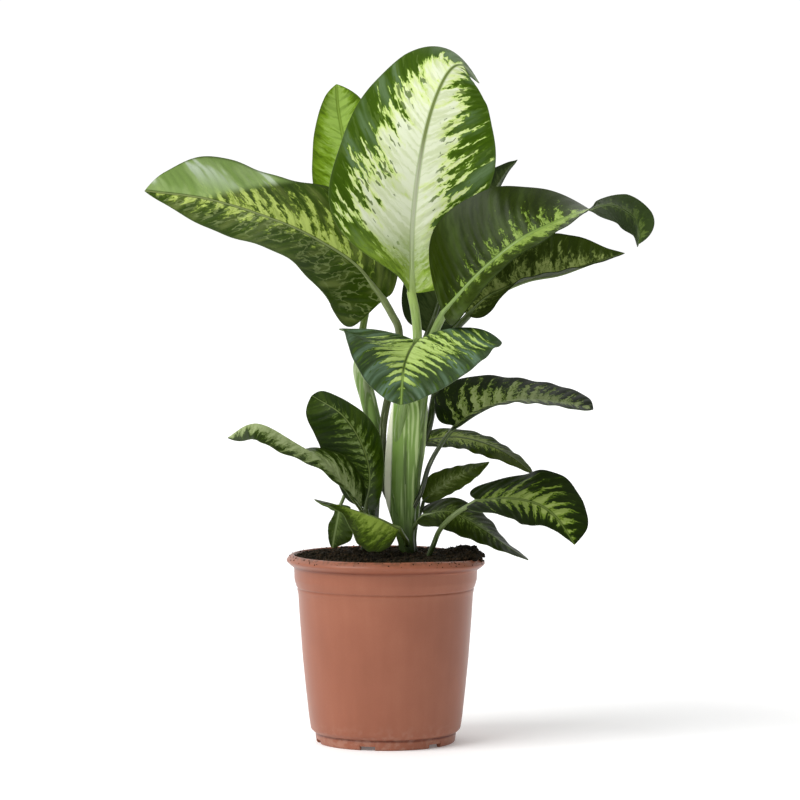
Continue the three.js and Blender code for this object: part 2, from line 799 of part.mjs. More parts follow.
const canes = new THREE.Group();
canes.name = 'canes';
canes.add(piece('cane_main', toGeometry(mainCane(0)), 0x6f8f47, 0.5));
canes.add(piece('cane_left', toGeometry(leftCane(0)), 0x55702f, 0.5));

const CREAM = 0xc3cd9c;
const YELLOW_GREEN = 0x8aa83a;
const MID_GREEN = 0x55702f;
const DARK_GREEN = 0x39501f;
const BLUE_GREEN = 0x5b7446;

const leaves = new THREE.Group();
leaves.name = 'leaves';
[
  ['leaf_centre', centreLeaf, CREAM],
  ['leaf_young', youngLeaf, YELLOW_GREEN],
  ['leaf_left', leftLeaf, MID_GREEN],
  ['leaf_right', rightLeaf, DARK_GREEN],
  ['leaf_right_lower', lowerRightLeaf, DARK_GREEN],
  ['leaf_back', backLeaf, MID_GREEN],
  ['leaf_front', frontLeaf, BLUE_GREEN],
  ['leaf_low_dark_left', darkLeftLeaf, DARK_GREEN],
  ['leaf_low_arched_left', archedLeftLeaf, MID_GREEN],
  ['leaf_low_front', lowFrontLeaf, YELLOW_GREEN],
  ['leaf_low_hanging', hangingLeaf, MID_GREEN],
  ['leaf_low_arched_right', archedRightLeaf, DARK_GREEN],
  ['leaf_low_narrow_right', narrowRightLeaf, MID_GREEN],
  ['leaf_low_small_right', smallRightLeaf, DARK_GREEN],
  ['leaf_low_right', lowRightLeaf, MID_GREEN],
  ['leaf_low_inner_right', innerRightLeaf, MID_GREEN],
].forEach(([name, leaf, color]) => {
  leaves.add(piece(name, leafGeometry(leaf), color, 0.35));
});

const group = new THREE.Group();
group.name = 'potted_dieffenbachia';
group.add(holder, canes, leaves);

export default group;
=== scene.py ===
import math

import bmesh
import bpy
import numpy as np
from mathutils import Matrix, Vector, noise


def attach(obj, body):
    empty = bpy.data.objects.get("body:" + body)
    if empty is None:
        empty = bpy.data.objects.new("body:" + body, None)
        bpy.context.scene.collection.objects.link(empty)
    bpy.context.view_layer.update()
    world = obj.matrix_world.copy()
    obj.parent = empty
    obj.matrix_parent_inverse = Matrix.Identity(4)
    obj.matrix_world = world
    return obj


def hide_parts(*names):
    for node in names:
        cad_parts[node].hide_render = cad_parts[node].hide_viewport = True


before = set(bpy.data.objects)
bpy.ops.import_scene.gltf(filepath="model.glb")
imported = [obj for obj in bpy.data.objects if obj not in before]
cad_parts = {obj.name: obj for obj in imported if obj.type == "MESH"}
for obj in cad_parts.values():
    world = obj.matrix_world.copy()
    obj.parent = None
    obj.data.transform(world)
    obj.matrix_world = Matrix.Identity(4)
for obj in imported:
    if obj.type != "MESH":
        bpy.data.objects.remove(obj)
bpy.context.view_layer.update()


# ------------------------------------------------------------------ nursery pot
# A thin-walled nursery pot, moulded in one piece from terracotta-coloured polypropylene, with
# a folded lip, a deeper collar, a tapered wall and a foot ring cut by six drainage notches.
# Satin all over, with the faint upright flow streaks that the mould leaves.

MM = 0.001
POT_SIDES = 192
POT_OUTLINE = [
    (0, 0), (30, 0), (31, 5), (62.5, 5), (63.5, 0), (66.5, 0), (67.8, 1.2), (68.8, 8),
    (68, 9.2), (70.6, 11), (73.2, 13.5), (75, 25), (78, 52), (81, 82), (84, 122),
    (85.5, 146), (86.5, 149.8), (86, 151.6), (87.2, 152.8), (89.2, 160), (89.6, 171.6),
    (92.2, 173.4), (96.3, 177), (97, 178.5), (96.3, 180), (93.2, 183.2), (91.2, 184.2),
    (89.6, 183.9), (88.3, 180.5), (87.2, 166), (83.6, 151), (79, 82), (73, 25), (68, 7),
    (30.5, 7), (28.5, 2), (0, 2),
]
POT_CORNER = 1.6
COLLAR_FOOT = 153
LIP_UNDERSIDE = 178
RIM_SAG = 3
SAG_START = 30
SAG_FULL = 97
NOTCHES = 6
FIRST_NOTCH = -105
NOTCH_RADIUS = 66
NOTCH_HALF_WIDTH = 7.5
NOTCH_HEIGHT = 4
NOTCH_EDGE = 0.0004
FOOT_RING_INSIDE = 60
# Heights in metres. Of each painted shade line (under the lip, under the collar step and above
# the foot ring) also how far it fades and how dark it is.
POT_PAINTED_SHADE_LINES = [(0.1725, 0.003, 0.6), (0.151, 0.0016, 0.25), (0.0095, 0.002, 0.9)]
LIP_GRIME = (0.179, 0.183)
FOOT_DUST = (0.03, 0.0)


class Shade:
    """A value inside a node tree. Plain Python sums on it add the Math nodes."""

    def __init__(self, nodes, socket):
        self.nodes = nodes
        self.socket = socket

    def math(self, operation, *values):
        return self.nodes.node("ShaderNodeMath", {"operation": operation},
                               dict(enumerate(values)))

    def __add__(self, other):
        return self.math("ADD", self, other)

    def __sub__(self, other):
        return self.math("SUBTRACT", self, other)

    def __rsub__(self, other):
        return self.math("SUBTRACT", other, self)

    def __mul__(self, other):
        return self.math("MULTIPLY", self, other)

    def __abs__(self):
        return self.math("ABSOLUTE", self)

    __radd__ = __add__
    __rmul__ = __mul__

    def sine(self):
        return self.math("SINE", self)

    def above(self, limit):
        return self.math("GREATER_THAN", self, limit)

    def rise(self, start, end):
        """0 below start and 1 above end, with a smooth step between; also falls if end < start."""
        low, high = min(start, end), max(start, end)
        settings = {"interpolation_type": "SMOOTHSTEP"}
        step = self.nodes.node("ShaderNodeMapRange", settings, {0: self, 1: low, 2: high})
        return step if end > start else 1 - step


def paint(red, green, blue):
    """Linear colour from a 0-255 display colour."""
    def one(c):
        c /= 255
        return c / 12.92 if c <= 0.04045 else ((c + 0.055) / 1.055) ** 2.4
    return one(red), one(green), one(blue), 1.0


class Nodes:
    """A node tree that is filled in node by node."""

    def node(self, kind, settings=None, values=None, output=0):
        made = self.tree.nodes.new(kind)
        for key, value in (settings or {}).items():
            if key == "stops":
                self.set_stops(made.color_ramp, value)
            else:
                setattr(made, key, value)
        for key, value in (values or {}).items():
            if isinstance(value, Shade):
                self.tree.links.new(value.socket, made.inputs[key])
            else:
                made.inputs[key].default_value = value
        return Shade(self, made.outputs[output])

    @staticmethod
    def set_stops(ramp, stops):
        while len(ramp.elements) < len(stops):
            ramp.elements.new(0.5)
        for element, (position, *colour) in zip(ramp.elements, stops):
            element.position = position
            element.color = paint(*colour)

    def part(self, vector, axis):
        return self.node("ShaderNodeSeparateXYZ", values={0: vector}, output="XYZ".index(axis))


class Finish(Nodes):
    """A named material with one Principled shader."""

    def __init__(self, name, **constants):
        self.material = bpy.data.materials.new(name)
        self.material.use_nodes = True
        self.tree = self.material.node_tree
        self.shader = self.tree.nodes["Principled BSDF"]
        for socket, value in constants.items():
            self.shader.inputs[socket.replace("_", " ")].default_value = value

    def feed(self, **sockets):
        for socket, shade in sockets.items():
            self.tree.links.new(shade.socket, self.shader.inputs[socket.replace("_", " ")])

    def place(self):
        return self.node("ShaderNodeTexCoord", output=3)

    def carried(self, attribute, output=2):
        """A value stored on the mesh: output 2 is a number, 1 a vector."""
        return self.node("ShaderNodeAttribute", {"attribute_name": attribute}, output=output)

    def stretched(self, vector, factors):
        return self.node("ShaderNodeVectorMath", {"operation": "MULTIPLY"},
                         {0: vector, 1: factors})

    def grain(self, vector, size, detail=2.0, rough=0.5):
        return self.node("ShaderNodeTexNoise", values={
            "Vector": vector, "Scale": size, "Detail": detail, "Roughness": rough})

    def mix(self, first, second, factor, blend="MIX"):
        """Two colours mixed; a plain one is given as its 0-255 display colour."""
        first, second = (paint(*c) if isinstance(c, tuple) else c for c in (first, second))
        return self.node("ShaderNodeMix", {"data_type": "RGBA", "blend_type": blend},
                         {0: factor, 6: first, 7: second}, output=2)

    def ramp(self, factor, stops):
        """Colours along a factor; each stop is its position and a 0-255 display colour."""
        return self.node("ShaderNodeValToRGB", {"stops": stops}, {0: factor})

    def relief(self, height, strength, depth):
        bump = self.node("ShaderNodeBump", values={
            "Strength": strength, "Distance": depth, "Height": height})
        self.feed(Normal=bump)


def placed(name, data):
    """A new object, put in the scene."""
    made = bpy.data.objects.new(name, data)
    bpy.context.collection.objects.link(made)
    return made


def finished(name, mesh, nodes=()):
    """A piece with this mesh that rides on the body, in place of its CAD nodes if it has any."""
    piece = placed(name, mesh)
    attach(piece, "root")
    if nodes:
        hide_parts(*nodes)
    return piece


def new_piece(name, points, faces, materials, slot, nodes=(), crease=40):
    """A mesh piece, given in millimetres, that stands for CAD nodes and rides with them."""
    mesh = bpy.data.meshes.new(name)
    mesh.from_pydata((np.asarray(points) * MM).tolist(), [], faces)
    mesh.validate()
    for material in materials:
        mesh.materials.append(material)
    mesh.shade_smooth()
    mesh.set_sharp_from_angle(angle=math.radians(crease))
    return finished(name, mesh, nodes)


def rounded(outline, reach):
    """The outline with every corner turned into a small arc."""
    points = [np.array(p, float) for p in outline]
    result = [tuple(points[0])]
    for before, corner, after in zip(points, points[1:], points[2:]):
        back, ahead = before - corner, after - corner
        cut = min(reach, 0.4 * np.linalg.norm(back), 0.4 * np.linalg.norm(ahead))
        start = corner + back / np.linalg.norm(back) * cut
        end = corner + ahead / np.linalg.norm(ahead) * cut
        for f in (0, 0.33, 0.67, 1):
            result.append(tuple((1 - f) ** 2 * start + 2 * f * (1 - f) * corner + f * f * end))
    result.append(tuple(points[-1]))
    return result


def skin_faces(rings, sides):
    """Faces of a closed skin: a start point, rings of equal length and an end point."""
    faces = []
    last = 1 + rings * sides
    for k in range(sides):
        nxt = (k + 1) % sides
        faces.append((0, 1 + nxt, 1 + k))
        faces.append((last, last - sides + k, last - sides + nxt))
        for ring in range(rings - 1):
            a, b = 1 + ring * sides, 1 + (ring + 1) * sides
            faces.append((a + k, a + nxt, b + nxt, b + k))
    return faces


def turned(outline, angles):
    """Closed skin turned about Z from an outline that starts and ends on the axis."""
    rings = np.array(outline[1:-1])
    radius, height = rings[:, 0, None], rings[:, 1, None]
    grid = np.stack([radius * np.cos(angles), radius * np.sin(angles),
                     height + 0 * angles], axis=-1)
    points = np.vstack([[(0, 0, outline[0][1])], grid.reshape(-1, 3), [(0, 0, outline[-1][1])]])
    return points, skin_faces(len(rings), len(angles))


def even_turn(sides):
    return [2 * math.pi * k / sides for k in range(sides)]


def smooth_step(values, start, end):
    f = np.clip((values - start) / (end - start), 0, 1)
    return f * f * (3 - 2 * f)


def pot_mesh():
    """The turned wall, cut at the notches, with its thin rim hanging lower on the right."""
    notch_half = math.asin(NOTCH_HALF_WIDTH / NOTCH_RADIUS)
    centres = [math.radians(FIRST_NOTCH + 360 * i / NOTCHES) for i in range(NOTCHES)]
    edges = [c + side * (notch_half + gap)
             for c in centres for side in (-1, 1) for gap in (-NOTCH_EDGE, NOTCH_EDGE)]
    angles = np.array(sorted({round(a % (2 * math.pi), 6)
                              for a in even_turn(POT_SIDES) + edges}))
    points, faces = turned(rounded(POT_OUTLINE, POT_CORNER), angles)
    around = np.arctan2(points[:, 1], points[:, 0])
    inside = np.zeros(len(points), bool)
    for centre in centres:
        apart = (around - centre + math.pi) % (2 * math.pi) - math.pi
        inside |= np.abs(apart) < notch_half
    reach = np.hypot(points[:, 0], points[:, 1])
    ring = inside & (reach > FOOT_RING_INSIDE) & (points[:, 2] < NOTCH_HEIGHT)
    points[ring, 2] = NOTCH_HEIGHT
    points[:, 2] -= (RIM_SAG * smooth_step(points[:, 0], SAG_START, SAG_FULL)
                     * smooth_step(points[:, 2], COLLAR_FOOT, LIP_UNDERSIDE))
    return points, faces


def pot_finish():
    """Mottled terracotta plastic: painted shade lines in its creases, grimy on its lip, dusty at
    its foot.
    """
    finish = Finish("terracotta_plastic", Specular_IOR_Level=0.3)
    at = finish.place()
    cloud = finish.grain(at, 14, 3)
    streak = finish.grain(finish.stretched(at, (60, 60, 3)), 2, 2)
    speck = finish.grain(at, 900, 2)
    tone = cloud * 0.6 + streak * 0.2 + speck * 0.2
    plastic = finish.ramp(tone, [(0.34, 143, 86, 63), (0.5, 150, 91, 68), (0.66, 157, 98, 74)])
    height = finish.part(at, "Z")
    # Painted shade: dark reddish lines under the lip, under the collar step and above the foot
    # ring.
    for level, reach, strength in POT_PAINTED_SHADE_LINES:
        crease = height.rise(level - reach, level) * height.rise(level + reach, level)
        plastic = finish.mix(plastic, (96, 44, 30), crease * (0.5 + cloud) * strength)
    lip = height.rise(*LIP_GRIME) * finish.grain(at, 260, 4).rise(0.42, 0.6)
    plastic = finish.mix(plastic, (88, 62, 48), lip * 0.55)
    dust = height.rise(*FOOT_DUST) * finish.grain(at, 160, 5).rise(0.42, 0.66)
    finish.feed(Base_Color=finish.mix(plastic, (186, 152, 134), dust * 0.3),
                Roughness=cloud * 0.1 + dust * 0.2 + 0.3)
    finish.relief(speck * 0.6 + streak * 0.4, 0.08, 0.0004)
    return finish.material


pot = new_piece("nursery_pot", *pot_mesh(), [pot_finish()], "pot_plastic", ["pot"], 50)


# ------------------------------------------------------------------ potting soil
# Damp, nearly black peat mix that fills the pot to just under its lip, mounded round the
# canes and banked against the rim on the right, where a loose heap lies over the rim. Crumbs
# and fibres lie on top of it, and a few crumbs stick to the lip.

SOIL_EDGE = 181
SOIL_RADIUS = 87
MOUND_HEIGHT = 4
MOUND_RADIUS = 90
BANK_HEIGHT = 8.5
BANK_MIDDLE = 74
BANK_DEPTH = 13
BANK_LENGTH = 30
SOIL_RINGS = 90
SOIL_SIDES = 200
SOIL_OUTLINE = [(0, 2.4), (27, 2.4), (30, 7.4), (67.4, 7.4), (72.4, 26), (78.4, 82), (83, 151),
                (86.6, 167), (87.6, 177)]
HEAP_CENTRE = (80, -8, 183)
HEAP_HALF = (14, 30, 8)
HEAP_ROWS = 24
HEAP_SIDES = 64
HEAP_FALL = 0.022
RIM_INSIDE = 84
LOWEST_CRUMB = 0.17
LEAST_UPRIGHT = 0.3
FULL_TURN = 6.28


def ground_height(x, y):
    mound = MOUND_HEIGHT * max(1 - (math.hypot(x, y) / MOUND_RADIUS) ** 2, 0) ** 0.8
    bank = BANK_HEIGHT * math.exp(-((x - BANK_MIDDLE) / BANK_DEPTH) ** 2
                                  - (y / BANK_LENGTH) ** 2)
    lumps = (1.2 * math.sin(0.31 * x + 1.3) * math.sin(0.27 * y + 0.4)
             + 0.8 * math.sin(0.19 * x - 0.33 * y + 2.1))
    return SOIL_EDGE + mound + bank + lumps


def soil_mesh():
    """The filling of the pot, with its top raised by the mound, the bank, lumps and crumbs."""
    top = [(SOIL_RADIUS * (1 - i / SOIL_RINGS), SOIL_EDGE) for i in range(SOIL_RINGS + 1)]
    points, faces = turned(SOIL_OUTLINE + top, np.array(even_turn(SOIL_SIDES)))
    for point in points:
        if point[2] >= SOIL_EDGE:
            x, y = point[0], point[1]
            rough = noise.fractal(Vector((x / 7, y / 7, 3.1)), 0.9, 2.1, 5)
            crumb = noise.noise(Vector((x / 1.8, y / 1.8, 7.7)))
            calm = min(max((SOIL_RADIUS - math.hypot(x, y)) / 6, 0.15), 1)
            point[2] = ground_height(x, y) + calm * (1.1 * rough + 0.5 * crumb)
    return points, faces


def heap_mesh():
    """A flat, lumpy heap that lies on the soil's edge and over the rim on the right."""
    points, faces = [], []
    for i in range(HEAP_ROWS + 1):
        steep = math.pi * (i / HEAP_ROWS - 0.5)
        for turn in even_turn(HEAP_SIDES):
            spot = Vector((math.cos(steep) * math.cos(turn), math.cos(steep) * math.sin(turn),
                           math.sin(steep)))
            spot *= 1 + 0.3 * noise.fractal(spot * 2.2, 0.8, 2.1, 5)
            x, y, z = (c + h * s for c, h, s in zip(HEAP_CENTRE, HEAP_HALF, spot))
            points.append((x, y, z - HEAP_FALL * max(x - RIM_INSIDE, 0) ** 2))
    for i in range(HEAP_ROWS):
        for k in range(HEAP_SIDES):
            nxt = (k + 1) % HEAP_SIDES
            a, b = i * HEAP_SIDES, (i + 1) * HEAP_SIDES
            faces.append((a + k, a + nxt, b + nxt, b + k))
    faces.append(tuple(range(HEAP_SIDES))[::-1])
    faces.append(tuple(HEAP_ROWS * HEAP_SIDES + k for k in range(HEAP_SIDES)))
    return points, faces


def soil_finish():
    """Matt and nearly black, with browner clods and fibres."""
    finish = Finish("damp_peat", Specular_IOR_Level=0.12)
    at = finish.place()
    clods = finish.grain(at, 140, 6, 0.65)
    tone = clods * 0.6 + finish.grain(at, 900, 3) * 0.4
    finish.feed(Base_Color=finish.ramp(tone, [(0.34, 14, 12, 6), (0.5, 32, 27, 16),
                                              (0.6, 58, 44, 28), (0.7, 100, 78, 54)]),
                Roughness=clods * 0.2 + 0.75)
    finish.relief(tone, 0.6, 0.0012)
    return finish.material


class Strewing(Nodes):
    """Geometry Nodes that strew one small shape over the high, upward faces of a surface."""

    def __init__(self, name, shape, material, sizes):
        self.tree = bpy.data.node_groups.new(name, "GeometryNodeTree")
        face = self.tree.interface
        face.new_socket("Geometry", in_out="INPUT", socket_type="NodeSocketGeometry")
        for label, value in sizes.items():
            kind = "NodeSocketInt" if isinstance(value, int) else "NodeSocketFloat"
            face.new_socket(label, in_out="INPUT", socket_type=kind)
        face.new_socket("Geometry", in_out="OUTPUT", socket_type="NodeSocketGeometry")

        inputs = self.tree.nodes.new("NodeGroupInput").outputs
        given = {label: Shade(self, inputs[label]) for label in ("Geometry", *sizes)}
        seed = given["Seed"]
        high = self.part(self.node("GeometryNodeInputPosition"), "Z").above(given["Lowest"])
        upward = self.part(self.node("GeometryNodeInputNormal"), "Z").above(
            given["Least upright"])
        strewn = self.node("GeometryNodeDistributePointsOnFaces", values={
            "Mesh": given["Geometry"], "Selection": high * upward,
            "Density": given["Per square metre"], "Seed": seed})
        turn = self.node("FunctionNodeRandomValue", {"data_type": "FLOAT_VECTOR"},
                         {0: (0, 0, 0), 1: (FULL_TURN,) * 3, "Seed": seed})
        size = self.node("FunctionNodeRandomValue", {"data_type": "FLOAT"},
                         {2: given["Smallest"], 3: given["Largest"], "Seed": seed}, 1)
        one = self.node("GeometryNodeObjectInfo", values={0: shape}, output="Geometry")
        laid = self.node("GeometryNodeInstanceOnPoints", values={
            "Points": strewn, "Instance": one, "Rotation": turn, "Scale": size})
        real = self.node("GeometryNodeRealizeInstances", values={0: laid})
        dressed = self.node("GeometryNodeSetMaterial", values={
            "Geometry": real, "Material": material})
        self.tree.links.new(dressed.socket, self.tree.nodes.new("NodeGroupOutput").inputs[0])


def crumb_shape():
    """A twenty-sided crumb, one unit across, pushed out of round."""
    made = bmesh.new()
    bmesh.ops.create_icosphere(made, subdivisions=1, radius=0.5)
    for vert in made.verts:
        vert.co *= 1 + 0.45 * noise.noise(vert.co * 5)
        vert.co.z *= 0.7
    return made


def fibre_shape():
    """A bent three-sided strand, one unit long."""
    made = bmesh.new()
    rings = []
    for i in range(6):
        f = i / 5
        bend = Vector((f - 0.5, 0.18 * math.sin(3 * f), 0.12 * math.cos(4 * f)))
        thick = 0.035 * (1 - 0.6 * abs(2 * f - 1))
        rings.append([made.verts.new(bend + Vector((0, thick * math.cos(a), thick * math.sin(a))))
                      for a in (0, 2.1, 4.2)])
    for one, two in zip(rings, rings[1:]):
        for k in range(3):
            made.faces.new((one[k], two[k], two[(k + 1) % 3], one[(k + 1) % 3]))
    made.faces.new(rings[0])
    made.faces.new(rings[-1][::-1])
    bmesh.ops.recalc_face_normals(made, faces=made.faces)
    return made


def strew(name, surface, shape, material, density, smallest, largest, seed):
    """Strews a shape over a surface and keeps the result as a plain mesh piece."""
    seed_mesh = bpy.data.meshes.new(name + "_one")
    shape.to_mesh(seed_mesh)
    shape.free()
    one = bpy.data.objects.new(name + "_one", seed_mesh)
    bed = placed(name + "_bed", surface.copy())
    sizes = {"Per square metre": float(density), "Smallest": smallest, "Largest": largest,
             "Lowest": LOWEST_CRUMB, "Least upright": LEAST_UPRIGHT, "Seed": seed}
    modifier = bed.modifiers.new(name, "NODES")
    modifier.node_group = Strewing(name, one, material, sizes).tree
    for item in modifier.node_group.interface.items_tree:
        if item.in_out == "INPUT" and item.name in sizes:
            modifier[item.identifier] = sizes[item.name]
    graph = bpy.context.evaluated_depsgraph_get()
    mesh = bpy.data.meshes.new_from_object(bed.evaluated_get(graph))
    bpy.data.objects.remove(bed)
    bpy.data.objects.remove(one)
    mesh.name = name
    finished(name, mesh)


peat = soil_finish()
soil = new_piece("potting_soil", *soil_mesh(), [peat], "soil", ["soil"], 80)
heap = new_piece("soil_heap", *heap_mesh(), [peat], "soil", crease=80)
strew("soil_crumbs", soil.data, crumb_shape(), peat, 90000, 0.0012, 0.0052, 4)
strew("rim_crumbs", pot.data, crumb_shape(), peat, 26000, 0.0007, 0.0018, 6)
strew("heap_crumbs", heap.data, crumb_shape(), peat, 160000, 0.0012, 0.0048, 5)
strew("soil_fibres", soil.data, fibre_shape(), peat, 4000, 0.004, 0.01, 9)


# ------------------------------------------------------------------ canes
# Two upright canes grow from the soil. The thick one in front is wrapped in the sheaths of the
# old leaves, whose edges run up it as flutes. Fleshy and paler where they part; darker at the
# soil, partly their own tone and partly painted shade under the leaves.
# A section is its middle and its two half widths.

MAIN_CANE = [
    (21.5, 0, 150, 8, 8), (21.5, 0, 187.1, 8.5, 8.5), (20, 0, 200.2, 9.5, 9.5),
    (18.5, 0, 218.2, 13, 11.5), (16.5, 0, 237.3, 16.5, 12.5), (15.5, 0, 257.4, 17.5, 13),
    (18.5, 0, 285, 18.8, 13.5), (20.5, -1, 305, 18.5, 13.5), (23, -2, 325, 17.5, 12.5),
    (24, -2, 338, 14, 10), (24, -2, 343, 9, 6),
]
LEFT_CANE = [
    (-16, 12, 150, 8.5, 8.5), (-16, 12, 205.7, 8.5, 8.5), (-14, 12, 236.8, 8, 8),
    (-10, 13, 274.9, 7.5, 7.5), (-11, 15, 303.8, 7.5, 7.5), (-16.9, 18, 331.7, 8, 7.5),
    (-23.9, 22, 358.4, 8, 7), (-24.9, 25, 378.2, 6, 5.5),
]
CANE_RINGS = 120
CANE_SIDES = 96
FLUTE_DEPTH = 0.05
SHEATH_TWIST = 0.004


def blend(a, b, c, d, f):
    """One Catmull-Rom step between b and c."""
    return 0.5 * (2 * b + (c - a) * f + (2 * a - 5 * b + 4 * c - d) * f * f
                  + (3 * b - a - 3 * c + d) * f ** 3)


def read_list(padded, x):
    """Reads a padded list of stations at the fractions x of its inner length."""
    padded = np.asarray(padded, float)
    steps = len(padded) - 3
    u = np.clip(x, 0, 1) * steps
    i = np.minimum(u.astype(int), steps - 1)
    f = u - i
    if padded.ndim > 1:
        f = f[:, None]
    return blend(padded[i], padded[i + 1], padded[i + 2], padded[i + 3], f)


def extended(stations):
    """The stations with one more at each end, carried on in a straight line."""
    v = np.asarray(stations, float)
    return np.concatenate([2 * v[:1] - v[1:2], v, 2 * v[-1:] - v[-2:-1]])


def cane_mesh(sections, flutes, edges):
    """A fluted cane whose sheath edges wind slowly up it."""
    rows = read_list(extended(sections), np.linspace(0, 1, CANE_RINGS))
    angle = np.linspace(0, 2 * math.pi, CANE_SIDES, endpoint=False)
    spiral = angle + SHEATH_TWIST * (rows[:, 2, None] - sections[0][2])
    steps = ((flutes * spiral / (2 * math.pi)) % 1) ** 3
    swell = 1 + FLUTE_DEPTH * np.cos(flutes * angle) + edges * (0.3 - steps)
    x = rows[:, 0, None] + rows[:, 3, None] * swell * np.cos(angle)
    y = rows[:, 1, None] + rows[:, 4, None] * swell * np.sin(angle)
    z = rows[:, 2, None] + 0 * x
    grid = np.stack([x, y, z], axis=-1).reshape(-1, 3)
    points = np.vstack([[rows[0, :3]], grid, [rows[-1, :3] + (0, 0, 1)]])
    return points, skin_faces(CANE_RINGS, CANE_SIDES)


def cane_finish(name, foot, middle, top, edge, strip):
    """Upright stripes: pale sheath edges, partly painted highlight; darker to the soil, partly
    painted shade.
    """
    finish = Finish(name, Specular_IOR_Level=0.25)
    at = finish.place()
    east, north, height = (finish.part(at, axis) for axis in "XYZ")
    stripe = finish.grain(finish.stretched(at, (260, 260, 5)), 1, 2)
    broad = finish.grain(finish.stretched(at, (110, 110, 3)), 1, 1)
    patch = finish.grain(at, 70, 3)
    # Darker towards the soil: partly the canes' own tone, partly painted shade under the leaves.
    skin = finish.ramp(height * 5 - 0.85 + (patch - 0.5) * 0.15,
                       [(0.04, *foot), (0.3, *middle), (0.6, *top)])
    # Light stripes: partly pale sheath edges, partly painted highlight.
    skin = finish.mix(skin, edge, stripe.rise(0.5, 0.6) * height.rise(0.2, 0.28) * 0.85)
    skin = finish.mix(skin, foot, broad.rise(0.5, 0.36) * 0.55)
    low, wide, colour = strip
    at_strip = east + (0.3 - height) * 0.03 - low
    pale = at_strip.rise(-0.001, 0.0005) * at_strip.rise(wide + 0.001, wide - 0.001)
    skin = finish.mix(skin, colour, pale * north.rise(0.003, -0.001)
                      * height.rise(0.2, 0.25) * (0.7 + stripe * 0.4))
    finish.feed(Base_Color=skin, Roughness=patch * 0.2 + 0.3)
    finish.relief(stripe, 0.35, 0.0012)
    return finish.material


main_cane_skin = cane_finish("main_cane_skin", (36, 46, 16), (80, 108, 40), (124, 156, 76),
                             (190, 212, 146), (0.0005, 0.006, (255, 255, 232)))
left_cane_skin = cane_finish("left_cane_skin", (34, 44, 14), (60, 84, 32), (116, 144, 76),
                             (176, 192, 146), (-0.014, 0.004, (200, 210, 176)))
new_piece("main_cane", *cane_mesh(MAIN_CANE, 7, 0.08), [main_cane_skin], "cane", ["cane_main"])
new_piece("left_cane", *cane_mesh(LEFT_CANE, 5, 0.05), [left_cane_skin], "cane", ["cane_left"])


# ------------------------------------------------------------------ cream-centred leaf
# The tallest leaf stands upright in the middle and nods at its tip. Cream all down its middle,
# with green margins that the cream runs into in jagged fingers along the side veins. Like every
# leaf here it is one soft, thin, slightly quilted blade on a round fleshy petiole.

# Paths are points in millimetres. Widths in millimetres, lifts in degrees and the reach of the
# pale colour are given at five stations from the blade's foot to its tip, left half first. Stops
# are a position and a display colour. Fingers are given by their width and length in centimetres
# and by how strong they are. The marks from the painted sheen to edge are there where a leaf
# names them; the painted sheen is a soft pale cloud over the darker parts of the blade.
RIB_STATIONS = 360
BLADE_THICKNESS = 0.8
LOBE_REACH = 0.35
RIGHT_WAVE_SHIFT = 1.3
MIDRIB_END = 0.85
MIDRIB_TIP_RADIUS = 0.6
PETIOLE_STATIONS = 49
MIDRIB_STATIONS = 80
MIDRIB_SINKS_OVER = 0.12
STEM_SIDES = 16
VEIN_BEND = 0.28
CM = 10.0
LARGE = {"rows": 200, "columns": 30}
SMALL = {"rows": 110, "columns": 18}
USUAL_LEAF = {"twist": 0, "ruffle": 0.8, "quilt": 0.45, "vein_spacing": 9.5, "lean": 0.45,
              "barbs": 0.9, "spread": 0.9, "gloss": 0.12, "shadow": (180, 190, 150),
              "back": ((104, 124, 72), 0.7)}


def unit(v):
    return v / np.linalg.norm(v, axis=-1, keepdims=True)


def mirrored(v, n):
    return v - 2 * np.dot(v, n) * n


def carried_frames(points, first_normal):
    """Tangents, and face normals carried along the path without spin."""
    tangents = unit(np.vstack([points[1:2] - points[0:1], points[2:] - points[:-2],
                               points[-1:] - points[-2:-1]]))
    first = first_normal - np.dot(first_normal, tangents[0]) * tangents[0]
    normals = [unit(first)]
    for i in range(1, len(points)):
        chord = unit(points[i] - points[i - 1])
        normal = mirrored(normals[-1], chord)
        turn = tangents[i] - mirrored(tangents[i - 1], chord)
        if np.dot(turn, turn) > 1e-12:
            normal = mirrored(normal, unit(turn))
        normals.append(unit(normal))
    return tangents, np.array(normals)


class Rib:
    """The midrib of a blade, with the blade's own directions at every fraction of it."""

    def __init__(self, rib, face, twist):
        self.points = read_list(extended(rib), np.linspace(0, 1, RIB_STATIONS))
        steps = np.linalg.norm(np.diff(self.points, axis=0), axis=1)
        self.lengths = np.concatenate([[0], np.cumsum(steps)])
        self.length = self.lengths[-1]
        self.tangents, normals = carried_frames(self.points, np.array(face, float))
        turns = twist if isinstance(twist, tuple) else [twist * f / 4 for f in range(5)]
        turn = np.radians(read_list(extended(turns), self.lengths / self.length))[:, None]
        sides = np.cross(self.tangents, normals)
        self.normals = normals * np.cos(turn) + sides * np.sin(turn)

    def at(self, fraction):
        fraction = np.asarray(fraction, float)
        want = np.clip(fraction, 0, 1) * self.length

        def between(values):
            return np.stack([np.interp(want, self.lengths, values[:, k]) for k in range(3)], -1)

        tangent = unit(between(self.tangents))
        normal = between(self.normals)
        normal = unit(normal - (normal * tangent).sum(-1, keepdims=True) * tangent)
        before = np.minimum(fraction, 0)[..., None] * self.length
        point = between(self.points) + before * self.tangents[0]
        return point, tangent, normal, np.cross(tangent, normal)


def half_width(stations, x):
    w = list(stations)
    return np.maximum(read_list([-w[0], 0, *w, 0, w[4]], x), 0)


def quilting(q, spacing, seed):
    """Height of the blade between its sunken side veins, from -1 in a vein to 1 between."""
    phase = q / spacing + 0.35 * np.sin(q / spacing * 0.37 + seed)
    return 2 * np.abs(np.sin(math.pi * phase)) ** 0.55 - 1


def rib_radius(leaf, s):
    neck = leaf["radii"][1]
    f = np.sqrt(np.clip(s / MIDRIB_END, 0, 1))
    return neck + (MIDRIB_TIP_RADIUS - neck) * f


